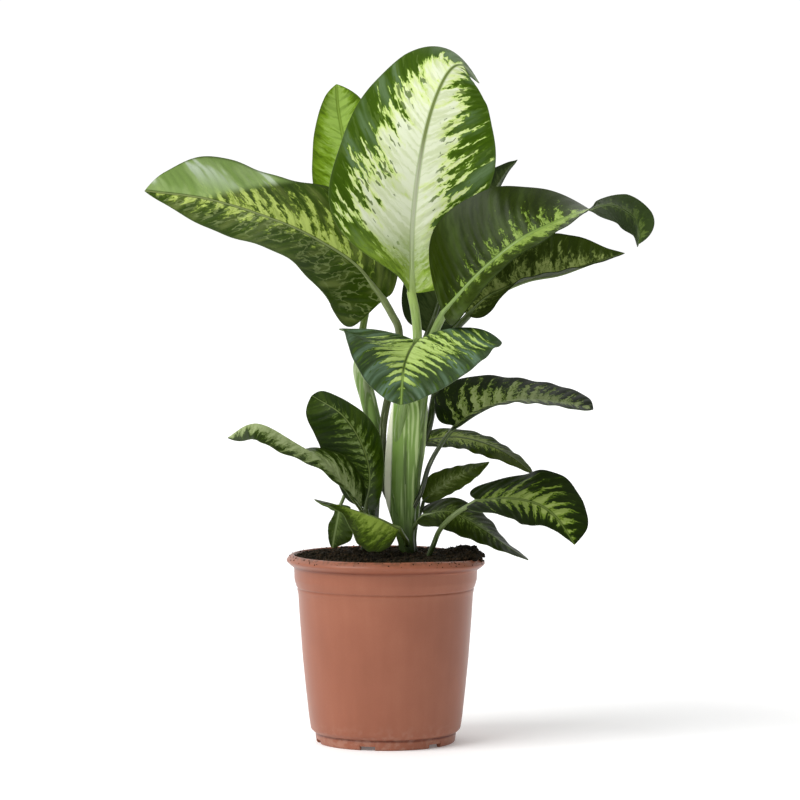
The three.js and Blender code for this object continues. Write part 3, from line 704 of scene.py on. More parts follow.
def blade_surface(leaf, rib):
    """The blade's middle surface, the way it faces, and what its pattern needs at each point."""
    rows, columns = leaf["rows"], 2 * leaf["columns"]
    x = np.linspace(0, 1, rows + 1)[:, None] + np.zeros((1, columns + 1))
    t = np.linspace(-1, 1, columns + 1)[None, :] + np.zeros((rows + 1, 1))
    s = 0.5 * (1 - np.cos(math.pi * x))
    right = t > 0
    m = np.abs(t)

    def sided(kind, read):
        left_half, right_half = (read(stations) for stations in leaf[kind])
        return np.where(right, right_half, left_half)

    def along_rib(stations):
        return read_list(extended(stations), s.ravel()).reshape(s.shape)

    across = sided("width", lambda w: half_width(w, x.ravel()).reshape(x.shape)) * m
    lift = np.radians(sided("lift", along_rib))
    r = np.minimum(s / LOBE_REACH, 1)
    back = leaf["lobe"] * 6.75 * r * (1 - r) ** 2 * m
    point, _, normal, side = rib.at(s - back)
    height, count, phase = leaf["wave"]
    swing = 2 * math.pi * count * s + phase + np.where(right, RIGHT_WAVE_SHIFT, 0)
    wave = height * (across / sided("width", max)) ** 2 * np.sin(swing)
    ruffle = leaf["ruffle"] * m ** 4 * np.sin(s * 41 + leaf["seed"] + 2 * right) * np.sin(
        math.pi * np.clip(s, 0, 1))
    out = (np.sign(t) * across * np.cos(lift))[..., None]
    up = (across * np.sin(lift) + wave + ruffle)[..., None]
    grid = point + side * out + normal * up

    q = (s - back) * rib.length - leaf["lean"] * across - VEIN_BEND * across * m
    skin = np.cross(np.gradient(grid, axis=1), np.gradient(grid, axis=0))
    length = np.linalg.norm(skin, axis=-1, keepdims=True)
    skin = np.where(length > 1e-9, skin / np.maximum(length, 1e-9), normal)
    skin[0], skin[-1] = normal[0], normal[-1]
    clear = np.clip((across - 3) / 8, 0, 1) * np.clip((1 - m) / 0.2, 0, 1)
    raised = leaf["quilt"] * clear * quilting(q + 3 * right, leaf["vein_spacing"], leaf["seed"])
    return grid + skin * raised[..., None], skin, {
        "vein_place": np.stack([q / CM, np.sign(t) * across / CM, leaf["seed"] * 3.7 + 0 * q], -1),
        "pale_reach": sided("reach", along_rib) - m,
        "along": s,
        "margin": m,
    }


def blade_mesh(leaf, rib):
    """The blade as a thin closed body, with its pattern's values for every point."""
    rows, columns = leaf["rows"], 2 * leaf["columns"]
    grid, skin, carried = blade_surface(leaf, rib)

    def inner(values):
        flat = values[1:-1].reshape((-1,) + values.shape[2:])
        return np.concatenate([values[:1, columns // 2], flat, values[-1:, columns // 2]])

    middle, outward = inner(grid), inner(skin) * BLADE_THICKNESS / 2
    count = len(middle)
    tip = count - 1
    points = np.vstack([middle + outward, middle - outward])
    stored = {k: np.concatenate([inner(v), inner(v)]) for k, v in carried.items()}
    stored["underside"] = np.concatenate([np.zeros(count), np.ones(count)])

    def at(i, j):
        return 1 + (i - 1) * (columns + 1) + j

    upper = []
    for j in range(columns):
        upper.append((0, at(1, j + 1), at(1, j)))
        upper.append((tip, at(rows - 1, j), at(rows - 1, j + 1)))
        for i in range(1, rows - 1):
            upper.append((at(i, j), at(i, j + 1), at(i + 1, j + 1), at(i + 1, j)))
    faces = upper + [tuple(count + k for k in face[::-1]) for face in upper]
    loop = [0, *(at(i, 0) for i in range(1, rows)), tip,
            *(at(i, columns) for i in range(rows - 1, 0, -1))]
    for a, b in zip(loop, loop[1:] + loop[:1]):
        faces.append((a, b, count + b, count + a))
    return points, faces, stored


def stem_mesh(leaf, rib):
    """Petiole and midrib as one tapering stem, with a shallow channel along its upper side."""
    foot, neck = leaf["radii"]
    start = rib.at(np.array([0.0]))[0]
    fractions = np.linspace(0, 1, PETIOLE_STATIONS)
    petiole = read_list(extended(np.vstack([leaf["stalk"], start])), fractions)
    s = np.linspace(0, MIDRIB_END, MIDRIB_STATIONS)
    point, _, normal, _ = rib.at(s)
    radii = rib_radius(leaf, s)
    sunk = point - normal * (0.6 * radii * smooth_step(s, 0, MIDRIB_SINKS_OVER))[:, None]
    path = np.vstack([petiole[:-1], sunk])
    radii = np.concatenate([(foot + (neck - foot) * fractions)[:-1], radii])
    tangents, normals = carried_frames(path[::-1], normal[-1])
    tangents, normals = -tangents[::-1], normals[::-1]
    sides = np.cross(tangents, normals)
    angle = np.linspace(0, 2 * math.pi, STEM_SIDES, endpoint=False)
    channel = 1 - 0.14 * np.exp(-(np.minimum(angle, 2 * math.pi - angle) / 0.55) ** 2)
    wide = (radii[:, None] * channel)[..., None]
    ring = (normals[:, None] * np.cos(angle)[None, :, None]
            + sides[:, None] * np.sin(angle)[None, :, None])
    points = np.vstack([path[:1], (path[:, None] + ring * wide).reshape(-1, 3), path[-1:]])
    lengths = np.concatenate([[0], np.cumsum(np.linalg.norm(np.diff(path, axis=0), axis=1))])
    tone = np.concatenate([0.5 * fractions[:-1], 0.5 + 0.5 * s / MIDRIB_END])

    def every(values):
        return np.concatenate([values[:1], np.repeat(values, STEM_SIDES), values[-1:]])

    turn = np.concatenate([[0], np.tile(angle, len(path)), [0]])
    stored = {
        "vein_place": np.stack([every(lengths / CM), turn, 0 * turn + leaf["seed"]], -1),
        "along": every(tone),
    }
    return points, [face[::-1] for face in skin_faces(len(path), STEM_SIDES)], stored


def stem_finish(name, tones):
    """Fleshy skin with fine lines along it; tones run from foot over neck to midrib end."""
    finish = Finish(name, Specular_IOR_Level=0.45)
    line = finish.grain(finish.stretched(finish.carried("vein_place", 1), (0.35, 2.2, 1)), 1.6, 3)
    skin = finish.ramp(finish.carried("along") + (line - 0.5) * 0.05, tones)
    skin = finish.mix(skin, (52, 66, 24), line.rise(0.5, 0.28) * 0.45)
    skin = finish.mix(skin, (206, 220, 170), line.rise(0.56, 0.75) * 0.4)
    finish.feed(Base_Color=skin, Roughness=line * 0.2 + 0.24)
    finish.relief(line, 0.25, 0.0008)
    return finish.material


def blade_finish(name, look):
    """Variegated skin. Pale colour spreads from the midrib and is drawn out along the veins."""
    finish = Finish(name, Specular_IOR_Level=look["gloss"])
    place = finish.carried("vein_place", 1)
    pale, along, margin, under = (finish.carried(key) for key in (
        "pale_reach", "along", "margin", "underside"))
    across = finish.part(place, "Y")
    wobble = finish.node("ShaderNodeTexNoise", values={"Vector": place, "Scale": 2.2,
                                                       "Detail": 2}, output=1)
    bent = finish.node("ShaderNodeVectorMath", {"operation": "MULTIPLY_ADD"},
                       {0: wobble, 1: (0.6, 0.6, 0), 2: place})
    fine, long, amount = look["fingers"]
    finger = finish.grain(finish.stretched(bent, (1 / fine, 1 / long, 1)), 1, 3, 0.6)
    barb = finish.grain(finish.stretched(bent, (2.6 / fine, 3.4 / long, 1)), 1, 3, 0.65)
    level = (pale * look["spread"] + (finger - 0.5) * amount
             + (barb - 0.5) * look["barbs"] + 0.5)
    if "herring" in look:
        spacing, strength = look["herring"]
        turns = finish.part(bent, "X") * (2 * math.pi * CM / spacing) + finger * 6
        level = level + turns.sine() * strength
    skin = finish.ramp(level, look["tones"])
    cloud = finish.grain(finish.stretched(place, (0.5, 0.22, 1)), 1, 2)
    # Painted sheen: a soft pale cloud laid over the darker parts of the blade.
    if "bloom" in look:
        colour, strength = look["bloom"]
        skin = finish.mix(skin, colour,
                          cloud.rise(0.46, 0.68) * level.rise(0.5, 0.36) * strength)
    if "flecks" in look:
        size, share, colour, strength = look["flecks"]
        fleck = finish.grain(finish.stretched(bent, (1.7 / size, 1.0 / size, 1)), 1, 1)
        skin = finish.mix(skin, colour, fleck.rise(share, share + 0.03) * strength
                          * margin.rise(0.12, 0.3))
    if "crackle" in look:
        size, colour, strength, half = look["crackle"]
        ridge = finish.grain(finish.stretched(bent, (0.9 / size, 0.55 / size, 1)), 1, 2.5, 0.6)
        skin = finish.mix(skin, colour, abs(ridge - 0.5).rise(0.035, 0.008) * strength
                          * across.rise(-0.2 * half, 0.3 * half) * margin.rise(0.95, 0.7))
    streak = finish.grain(finish.stretched(bent, (2.4, 0.3, 1)), 1, 2)
    skin = finish.mix(skin, look["shadow"], streak.rise(0.45, 0.62) * 0.5, "MULTIPLY")
    if "base" in look:
        reach, colour = look["base"]
        skin = finish.mix(skin, colour, along.rise(reach, reach * 0.4)
                          * (barb.rise(0.42, 0.58) * 0.4 + 0.5))
    # A tip tone. Where a half is named, it is a painted reflection on that half of the tip, with
    # painted soft light and dark bands.
    if "tip" in look:
        reach, colour, strength, half, slant = look["tip"]
        share = (along + across * (half * slant)).rise(reach, reach + 0.07) * strength
        if half:
            share = share * across.rise(-0.1 * half, 0.2 * half)
        skin = finish.mix(skin, colour, share)
        if half:
            skin = finish.mix(skin, (108, 138, 60), share * cloud.rise(0.5, 0.4) * 0.7)
            skin = finish.mix(skin, (206, 220, 200),
                              share * cloud.rise(0.5, 0.6) * margin.rise(0.15, 0.85) * 0.8)
    # The band beside the midrib is partly the leaf's own tone and partly painted shade along the
    # midrib.
    if "rib_line" in look:
        wide, narrow, rib_band_tone_and_shade, stops = look["rib_line"]
        off = abs(across) * CM - (along * (narrow - wide) + wide)
        skin = finish.mix(skin, rib_band_tone_and_shade, off.rise(1.6, 0.3) * 0.75)
        skin = finish.mix(skin, finish.ramp(along, stops), off.rise(0.3, -0.2))
    if "edge" in look:
        reach, colour, strength = look["edge"]
        skin = finish.mix(skin, colour, margin.rise(reach, 0.995) * strength)
    back, share = look["back"]
    finish.feed(Base_Color=finish.mix(skin, back, under * share),
                Roughness=cloud * 0.2 + under * 0.2 + 0.26)
    finish.relief(barb * 0.6 + finger * 0.4, 0.25, 0.001)
    return finish.material


def grow_leaf(name, node, slot, fineness, **own):
    """Blade and stem of one leaf as one piece."""
    leaf = {**USUAL_LEAF, **fineness, **own}
    rib = Rib(leaf["rib"], leaf["face"], leaf["twist"])
    blade_points, blade_faces, blade_values = blade_mesh(leaf, rib)
    stem_points, stem_faces, stem_values = stem_mesh(leaf, rib)
    shift = len(blade_points)
    faces = blade_faces + [tuple(k + shift for k in face) for face in stem_faces]
    materials = [blade_finish(name + "_skin", leaf), stem_finish(name + "_stem", leaf["stem"])]
    piece = new_piece(name, np.vstack([blade_points, stem_points]), faces, materials,
                      slot, [node], 55)
    mesh = piece.data
    index = np.zeros(len(faces), dtype=np.int32)
    index[len(blade_faces):] = 1
    mesh.polygons.foreach_set("material_index", index)
    for key, values in blade_values.items():
        vector = values.ndim > 1
        after = stem_values.get(key, np.zeros((len(stem_points),) + values.shape[1:]))
        kind = "FLOAT_VECTOR" if vector else "FLOAT"
        attribute = mesh.attributes.new(key, kind, "POINT")
        attribute.data.foreach_set("vector" if vector else "value",
                                   np.concatenate([values, after]).astype(np.float32).ravel())


grow_leaf(
    "cream_centred_leaf", "leaf_centre", "leaf_cream", LARGE,
    seed=1, lean=0.65,
    stalk=[(21, -1, 277), (25, -3, 311), (29, -6, 354), (31, -8, 393), (29, -7, 419)],
    rib=[(25, -6, 439), (26, -12, 505), (34, -12, 571), (45, -4, 618), (60, 14, 652),
         (75, 34, 661), (92, 46, 644)],
    face=(0, -0.99, 0.15), width=((19, 85, 78, 54, 23), (52, 60, 74, 52, 14)),
    lift=((50, 26, 10, -8, 3), (-3, -8, -9, -9, -5)),
    reach=((0.45, 0.75, 0.66, 0.46, 0.1), (0.5, 0.64, 0.55, 0.5, 0.15)), lobe=0,
    wave=(1.5, 3, 0.4), radii=(5, 4.4),
    stem=[(0.0, 98, 124, 56), (0.4, 146, 172, 92), (0.5, 168, 194, 104), (0.56, 182, 202, 138),
          (0.66, 196, 204, 172), (0.78, 160, 168, 128), (0.84, 110, 124, 62), (1.0, 98, 118, 46)],
    fingers=(1.0, 2.8, 2.6), barbs=0.8, spread=1.2,
    tones=[(0.3, 62, 90, 8), (0.45, 78, 108, 20), (0.49, 120, 154, 50), (0.52, 196, 222, 124),
           (0.62, 222, 238, 160), (0.85, 230, 240, 196), (1.1, 234, 242, 210)],
    bloom=((120, 146, 108), 0.55), flecks=(1.0, 0.62, (84, 110, 40), 0.85), shadow=(214, 222, 184),
    base=(0.26, (150, 182, 62)),
    rib_line=(2.2, 0.8, (170, 188, 128),
              [(0.05, 160, 188, 80), (0.2, 196, 206, 168), (0.42, 190, 196, 168),
               (0.55, 126, 140, 84), (0.95, 96, 116, 44)]),
    edge=(0.95, (70, 92, 36), 0.6))


# ------------------------------------------------------------------ young leaf
# The newest full leaf stands behind the cream one on the left cane. Bright yellow-green all
# over, with a darker rim and thin darker lines along its side veins.

grow_leaf(
    "young_leaf", "leaf_young", "leaf_yellow_green", LARGE,
    seed=2, stalk=[(-24, 26, 374), (-23, 31, 400), (-17, 42, 431)],
    rib=[(-14, 48, 445), (-29, 66, 520), (-40, 76, 579), (-47, 78, 618), (-49, 72, 644)],
    face=(-0.25, -0.94, 0.15), width=((23, 37, 39, 30, 13), (29, 47, 49, 35, 24)),
    lift=((5, 5, 6, 8, 8), (5, 4, 4, 4, 8)),
    reach=((0.7, 0.8, 0.8, 0.8, 0.8), (0.7, 0.8, 0.8, 0.8, 0.8)), lobe=0.03, wave=(1, 2, 0),
    radii=(4, 3), stem=[(0.0, 64, 84, 26), (0.5, 130, 156, 66), (1.0, 150, 176, 80)],
    fingers=(0.7, 3, 1.6),
    tones=[(0.2, 76, 106, 0), (0.42, 98, 130, 10), (0.62, 122, 156, 34), (0.9, 156, 188, 84)],
    rib_line=(1.4, 0.7, (96, 124, 20), [(0, 140, 168, 70), (1, 130, 160, 60)]),
    edge=(0.88, (84, 106, 20), 0.6))


# ------------------------------------------------------------------ long left leaf
# Grows from low on the main cane and arches out to the left. Its far half is dark with a
# yellow-green patch along the midrib, its near half olive with thin crackled pale streaks, and
# its glossy tip carries a painted pale reflection with soft painted bands on its far half.

grow_leaf(
    "long_left_leaf", "leaf_left", "leaf_mid_green", LARGE,
    seed=3,
    stalk=[(10, 0, 226), (-1, 2, 250), (-3, 1, 280), (-2.5, 0, 308), (2.5, 1, 337), (12, 5, 373),
           (13, 6, 402), (6, 8, 418)],
    rib=[(-2, 10, 432), (-27, 6, 464), (-62, 0, 488), (-103, -8, 508), (-168, -18, 529),
         (-233, -20, 538)],
    face=(0.35, -0.67, 0.64), width=((48, 58, 54, 43, 13), (20, 68, 65, 61, 23)),
    lift=((-30, 2, 16, 8, 4), (12, 4, -6, -3, 31)),
    reach=((-0.5, -0.25, 0.0, 0.2, 0.15), (-0.4, 0.25, 0.42, 0.2, -0.2)), twist=4, lobe=0.07,
    wave=(1.5, 2.5, 1.2), radii=(3.8, 3.8),
    stem=[(0.0, 44, 54, 20), (0.3, 66, 76, 36), (0.5, 120, 134, 80), (0.6, 140, 154, 96),
          (0.75, 120, 132, 76), (1.0, 94, 110, 50)],
    fingers=(0.8, 2.0, 2.2), barbs=1.6, spread=1.1, herring=(15, 0.24),
    tones=[(0.2, 54, 76, 6), (0.42, 86, 108, 34), (0.52, 104, 124, 46), (0.57, 150, 172, 66),
           (0.75, 186, 204, 108)],
    bloom=((110, 124, 60), 0.85), crackle=(1.4, (150, 164, 104), 0.5, -1),
    # Painted reflection on the far half of the tip.
    tip=(0.74, (146, 172, 104), 0.9, 1, 0.045),
    rib_line=(1.6, 0.8, (44, 58, 14), [(0.0, 140, 154, 100), (0.9, 124, 138, 80)]),
    edge=(0.93, (56, 72, 30), 0.7))


# ------------------------------------------------------------------ large right leaf
# The largest of the dark leaves rises from the main cane to the right, turns over beyond its
# middle and ends in a hooked tip. Yellow-green fingers branch from its thick pale midrib into
# a plain dark margin.

grow_leaf(
    "large_right_leaf", "leaf_right", "leaf_dark_green", LARGE,
    rows=240, seed=4, lean=0.0,
    stalk=[(25, -3, 283), (33, -7, 311), (38, -14, 350), (41, -26, 384), (49, -38, 406)],
    rib=[(56, -44, 420), (77, -56, 445), (100, -62, 468), (129, -66, 491), (163, -66, 508),
         (192, -71, 520), (214, -77, 525), (234, -91, 515), (240, -107, 500), (238, -127, 488)],
    face=(-0.1, -0.96, 0.25), width=((54, 71, 56, 32, 14), (42, 55, 48, 35, 22)),
    lift=((-27, -7, 11, -8, 17), (45, 60, 24, -23, 37)),
    reach=((-0.2, 0.08, 0.2, 0.2, 0.3), (-0.1, 0.3, 0.7, 0.5, 0.4)),
    twist=(-6, -6, -43, -116, -167), lobe=0.01, wave=(0.8, 2.5, 0), radii=(5, 4),
    stem=[(0.0, 80, 106, 40), (0.42, 118, 142, 72), (0.5, 134, 158, 90), (0.7, 118, 144, 66),
          (0.8, 110, 136, 50), (1.0, 76, 96, 44)],
    fingers=(0.5, 2.2, 1.3), barbs=2.2, spread=1.3, herring=(14, 0.2),
    tones=[(0.3, 38, 52, 0), (0.5, 50, 66, 8), (0.57, 74, 98, 18), (0.66, 112, 138, 46),
           (0.85, 142, 166, 80)],
    bloom=((68, 86, 34), 0.6),
    rib_line=(2.4, 1.2, (74, 98, 28),
              [(0.0, 134, 158, 90), (0.4, 122, 148, 62), (0.75, 100, 124, 44)]),
    edge=(0.94, (36, 48, 8), 0.6), back=((46, 62, 26), 0.75))


# ------------------------------------------------------------------ lower right leaf
# Grows from the main cane under the large right leaf, with both halves folded up from the
# midrib. Blackish green, sprinkled with yellow-cream streaks.

grow_leaf(
    "lower_right_leaf", "leaf_right_lower", "leaf_dark_green", LARGE,
    seed=5, lean=0.1,
    stalk=[(28, 3, 272), (41, 7, 305), (47, 12, 334), (55, 19, 371), (65, 26, 398)],
    rib=[(81, 34, 416), (97, 38, 432), (117, 42, 442), (142, 46, 451), (172, 50, 456),
         (202, 54, 466), (236, 56, 477)],
    face=(-0.2, -0.25, 0.94), width=((28, 47, 49, 39, 10), (27, 45, 43, 30, 12)),
    lift=((47, 50, 50, 47, 37), (-11, 16, 20, 14, 6)),
    reach=((0.2, 0.35, 0.4, 0.3, 0.0), (0.2, 0.3, 0.3, 0.2, 0.0)), twist=-8, lobe=0.02,
    wave=(1.2, 3, 0.8), radii=(4, 3.6),
    stem=[(0.0, 40, 54, 14), (0.45, 50, 66, 20), (0.6, 110, 128, 70), (1.0, 92, 108, 60)],
    fingers=(0.5, 1.6, 1.9), barbs=1.7,
    tones=[(0.3, 46, 60, 12), (0.52, 74, 88, 36), (0.6, 96, 112, 50), (0.8, 144, 158, 90)],
    rib_line=(1.2, 0.6, (30, 42, 8), [(0.0, 110, 128, 70), (1.0, 84, 98, 50)]),
    edge=(0.9, (32, 42, 16), 0.7), back=((40, 52, 20), 0.8), gloss=0.03)


# ------------------------------------------------------------------ leaf at the back
# Grows from behind the main cane and away from the viewer, so its dull grey-green underside
# shows above the other leaves. Its upper side is dark, and paler along the midrib.

grow_leaf(
    "back_leaf", "leaf_back", "leaf_mid_green", LARGE,
    seed=6, stalk=[(16, 8, 275), (20, 10, 310), (26, 20, 346), (34, 34, 377)],
    rib=[(42, 44, 399), (62, 76, 455), (94, 102, 514), (119, 118, 557), (132, 124, 570)],
    face=(-0.2, 0.96, 0.2), width=((22, 36, 38, 23, 12), (25, 42, 41, 31, 7)),
    lift=((8, 17, 26, 36, 32), (10, 10, 10, 10, 10)),
    reach=((0.4, 0.55, 0.55, 0.45, 0.2), (0.4, 0.6, 0.6, 0.5, 0.2)), twist=32, lobe=0.06,
    wave=(1.2, 2.5, 0), radii=(4.5, 3.6),
    stem=[(0.0, 40, 56, 14), (0.5, 56, 72, 28), (1.0, 96, 112, 66)], fingers=(0.45, 2.2, 1.8),
    tones=[(0.3, 26, 40, 2), (0.48, 40, 56, 10), (0.55, 80, 98, 36), (0.8, 120, 136, 76)],
    edge=(0.9, (52, 62, 44), 0.6), back=((48, 62, 32), 0.8), gloss=0.04)


# ------------------------------------------------------------------ broad front leaf
# Grows from the main cane, comes forward over both canes and hangs down. Blue-green with soft
# highlights, and feathered yellow-cream fingers that spread from the midrib.

grow_leaf(
    "broad_front_leaf", "leaf_front", "leaf_blue_green", LARGE,
    seed=7, lean=1.2,
    stalk=[(14, -4, 283), (13, -11, 306), (19, -20, 341), (27, -34, 374), (31, -48, 389)],
    rib=[(30, -58, 394), (23, -88, 385), (18, -121, 373), (16, -150, 358), (15, -170, 339)],
    face=(0, -0.35, 0.92), width=((27, 87, 84, 59, 22), (21, 67, 62, 43, 17)),
    lift=((34, 14, 13, 10, 3), (15, 14, 25, 15, -5)),
    reach=((0.5, 0.55, 0.45, 0.1, -0.4), (0.3, 0.38, 0.3, 0.0, -0.4)), twist=-2, lobe=0.09,
    wave=(1.2, 2.5, 0.6), radii=(5.5, 3.8),
    stem=[(0.0, 116, 146, 74), (0.5, 120, 144, 72), (0.56, 52, 66, 20), (0.72, 62, 78, 28),
          (0.8, 130, 150, 80), (1.0, 86, 108, 74)],
    fingers=(0.8, 2.8, 2.2), barbs=1.0, spread=1.2, herring=(14, 0.34),
    tones=[(0.3, 50, 70, 34), (0.45, 56, 80, 26), (0.49, 96, 124, 40), (0.53, 146, 170, 78),
           (0.8, 180, 204, 118)],
    bloom=((100, 126, 102), 0.8), flecks=(0.8, 0.6, (66, 92, 22), 0.9),
    rib_line=(1.0, 0.5, (90, 112, 36),
              [(0.0, 50, 64, 16), (0.6, 62, 80, 30), (0.7, 120, 146, 70)]),
    edge=(0.93, (50, 64, 46), 0.6))


# ------------------------------------------------------------------ low leaves on the left
# Four older, smaller leaves on the lower cane: a dark one against the left cane, an arched one
# that points left, a folded yellow-green one in front, and a small one that hangs straight down.

grow_leaf(
    "dark_left_leaf", "leaf_low_dark_left", "leaf_dark_green", SMALL,
    seed=8, stalk=[(-15, 8, 205), (-18, -4, 217)],
    rib=[(-19, -9, 230), (-15, -15, 262), (-23, -19, 293), (-42, -17, 321), (-72, -2, 339)],
    face=(-0.3, -0.94, 0.15), width=((22, 36, 38, 34, 21), (16, 21, 27, 15, 10)),
    lift=((0, 4, 10, 21, 38), (35, 36, 26, 18, 16)),
    reach=((-0.2, 0.1, 0.25, 0.1, -0.2), (-0.1, 0.25, 0.35, 0.2, -0.1)), twist=15, lobe=0.04,
    wave=(0.8, 2.5, 0), radii=(3, 2.4),
    stem=[(0.0, 44, 60, 14), (0.5, 76, 94, 36), (1.0, 90, 106, 52)], fingers=(0.35, 1.4, 1.3),
    barbs=1.3, herring=(9, 0.22),
    tones=[(0.3, 30, 48, 0), (0.5, 48, 66, 8), (0.6, 62, 82, 18), (0.72, 90, 110, 48),
           (0.9, 118, 136, 80)],
    bloom=((66, 86, 22), 0.5),
    rib_line=(1.0, 0.5, (34, 50, 6), [(0.0, 90, 106, 50), (1.0, 100, 116, 60)]),
    edge=(0.92, (36, 48, 12), 0.7))

grow_leaf(
    "arched_left_leaf", "leaf_low_arched_left", "leaf_mid_green", SMALL,
    rows=140, seed=9, stalk=[(-14, 8, 192), (-15, -8, 206), (-18, -17, 219)],
    rib=[(-24, -23, 230), (-41, -43, 256), (-61, -59, 280), (-86, -71, 297), (-114, -82, 314),
         (-131, -86, 315), (-150, -88, 303)],
    face=(0.3, -0.36, 0.82), width=((15, 27, 25, 24, 14), (20, 36, 33, 24, 9)),
    lift=((12, -2, -18, -36, -49), (55, 25, -20, -36, -45)),
    reach=((0.4, 0.6, 0.7, 0.6, 0.3), (0.3, 0.5, 0.6, 0.5, 0.2)), twist=18, lobe=0,
    wave=(0.6, 2.5, 0), radii=(3, 2.4),
    stem=[(0.0, 60, 80, 28), (0.5, 90, 106, 50), (1.0, 110, 126, 72)], fingers=(0.45, 1.6, 1.3),
    barbs=1.3, herring=(12, 0.14),
    tones=[(0.2, 38, 54, 8), (0.38, 66, 86, 26), (0.52, 124, 140, 84), (0.85, 164, 178, 126)],
    edge=(0.9, (50, 62, 28), 0.6))

grow_leaf(
    "folded_front_leaf", "leaf_low_front", "leaf_yellow_green", SMALL,
    seed=10, stalk=[(21, -4, 192), (20, -20, 199), (17, -33, 205)],
    rib=[(13, -42, 213), (-5, -52, 223), (-27, -60, 231), (-49, -66, 238), (-68, -70, 243)],
    face=(0.2, -0.35, 0.92), width=((22, 35, 34, 18, 11), (14, 24, 23, 16, 6)),
    lift=((-50, -52, -47, -17, -15), (-20, -20, -20, -20, -20)),
    reach=((0.5, 0.7, 0.6, 0.3, 0.0), (0.5, 0.6, 0.5, 0.2, 0.0)), twist=27, lobe=0.02,
    wave=(0.5, 2, 0), radii=(2.6, 2.3),
    stem=[(0.0, 60, 78, 26), (0.5, 82, 100, 34), (1.0, 100, 118, 52)], fingers=(0.5, 1.6, 1.4),
    barbs=1.1,
    tones=[(0.3, 54, 70, 6), (0.5, 74, 96, 18), (0.62, 94, 118, 30), (0.9, 136, 158, 64)],
    tip=(0.8, (56, 66, 30), 0.7, 0, 0), edge=(0.9, (48, 60, 20), 0.5))

grow_leaf(
    "hanging_leaf", "leaf_low_hanging", "leaf_mid_green", SMALL,
    seed=11, vein_spacing=6, quilt=0.25, stalk=[(-14, 12, 232), (-24, 12, 247), (-35, 10, 250)],
    rib=[(-44, 4, 232), (-47, 0, 217), (-50, -2, 202), (-52, -2, 190)], face=(-0.2, -1, 0.05),
    width=((12, 11, 18, 17, 6), (5, 5, 8, 6, 3)), lift=((22, 27, 18, 4, -5), (-4, -5, 0, 5, 9)),
    reach=((0.0, 0.2, 0.2, 0.1, 0.0), (0.0, 0.2, 0.2, 0.1, 0.0)), lobe=0.03, wave=(0, 1, 0),
    radii=(2.4, 1.8), stem=[(0.0, 50, 68, 24), (0.5, 110, 128, 74), (1.0, 130, 146, 98)],
    fingers=(0.4, 1.8, 1.2), tones=[(0.25, 52, 70, 14), (0.5, 84, 104, 42), (0.8, 116, 134, 72)],
    rib_line=(1.2, 0.8, (60, 78, 24), [(0.0, 110, 128, 74), (1.0, 120, 136, 84)]))


# ------------------------------------------------------------------ low leaves on the right
# Five more low leaves: three from the main cane one above the other, the largest with its own
# petiole out of the soil, and one between that and the cane.

grow_leaf(
    "arched_right_leaf", "leaf_low_arched_right", "leaf_dark_green", SMALL,
    rows=140, seed=12, lean=0.15,
    stalk=[(23, -5, 223), (34, -12, 245), (42, -15, 271), (53, -14, 291)],
    rib=[(67, -9, 309), (87, -3, 324), (116, 0, 333), (146, 0, 335), (178, -4, 331),
         (202, -10, 326)],
    face=(-0.2, -0.45, 0.88), width=((14, 45, 40, 33, 18), (16, 27, 28, 19, 9)),
    lift=((73, 24, 13, 17, 26), (37, 22, 12, 0, -21)),
    reach=((0.1, 0.5, 0.55, 0.45, 0.1), (0.2, 0.6, 0.7, 0.5, 0.2)), twist=-27, lobe=0.15,
    wave=(0.6, 2.5, 0), radii=(2.8, 2.2),
    stem=[(0.0, 16, 24, 6), (0.3, 26, 38, 8), (0.44, 64, 80, 30), (0.55, 98, 114, 60),
          (1.0, 90, 106, 52)],
    fingers=(0.4, 1.4, 1.5), barbs=1.8, herring=(11, 0.26),
    tones=[(0.3, 22, 36, 0), (0.5, 44, 60, 6), (0.57, 78, 100, 22), (0.66, 126, 146, 70),
           (0.9, 156, 170, 110)],
    edge=(0.9, (32, 42, 20), 0.7))

grow_leaf(
    "narrow_right_leaf", "leaf_low_narrow_right", "leaf_mid_green", SMALL,
    seed=13, stalk=[(21, 7, 252), (30, 20, 273)],
    rib=[(38, 24, 293), (67, 20, 297), (96, 8, 292), (122, -6, 280), (143, -16, 264)],
    face=(0, -0.25, 0.96), width=((15, 23, 22, 16, 7), (13, 22, 23, 16, 6)),
    lift=((18, 5, -5, -7, -1), (-4, -7, -9, -10, -9)),
    reach=((0.4, 0.55, 0.5, 0.2, -0.2), (0.4, 0.6, 0.5, 0.2, -0.2)), twist=-6, lobe=0.06,
    wave=(0.8, 2.5, 0), radii=(2.6, 2),
    stem=[(0.0, 44, 58, 18), (0.5, 92, 108, 50), (1.0, 104, 118, 64)], fingers=(0.35, 1.2, 1.6),
    barbs=1.4,
    tones=[(0.3, 50, 66, 0), (0.5, 64, 84, 4), (0.58, 98, 122, 20), (0.75, 164, 182, 92)],
    tip=(0.62, (78, 90, 36), 0.7, 0, 0),
    rib_line=(1.0, 0.5, (48, 60, 12), [(0.0, 110, 124, 72), (1.0, 104, 116, 70)]),
    edge=(0.9, (44, 54, 24), 0.6), gloss=0.03)

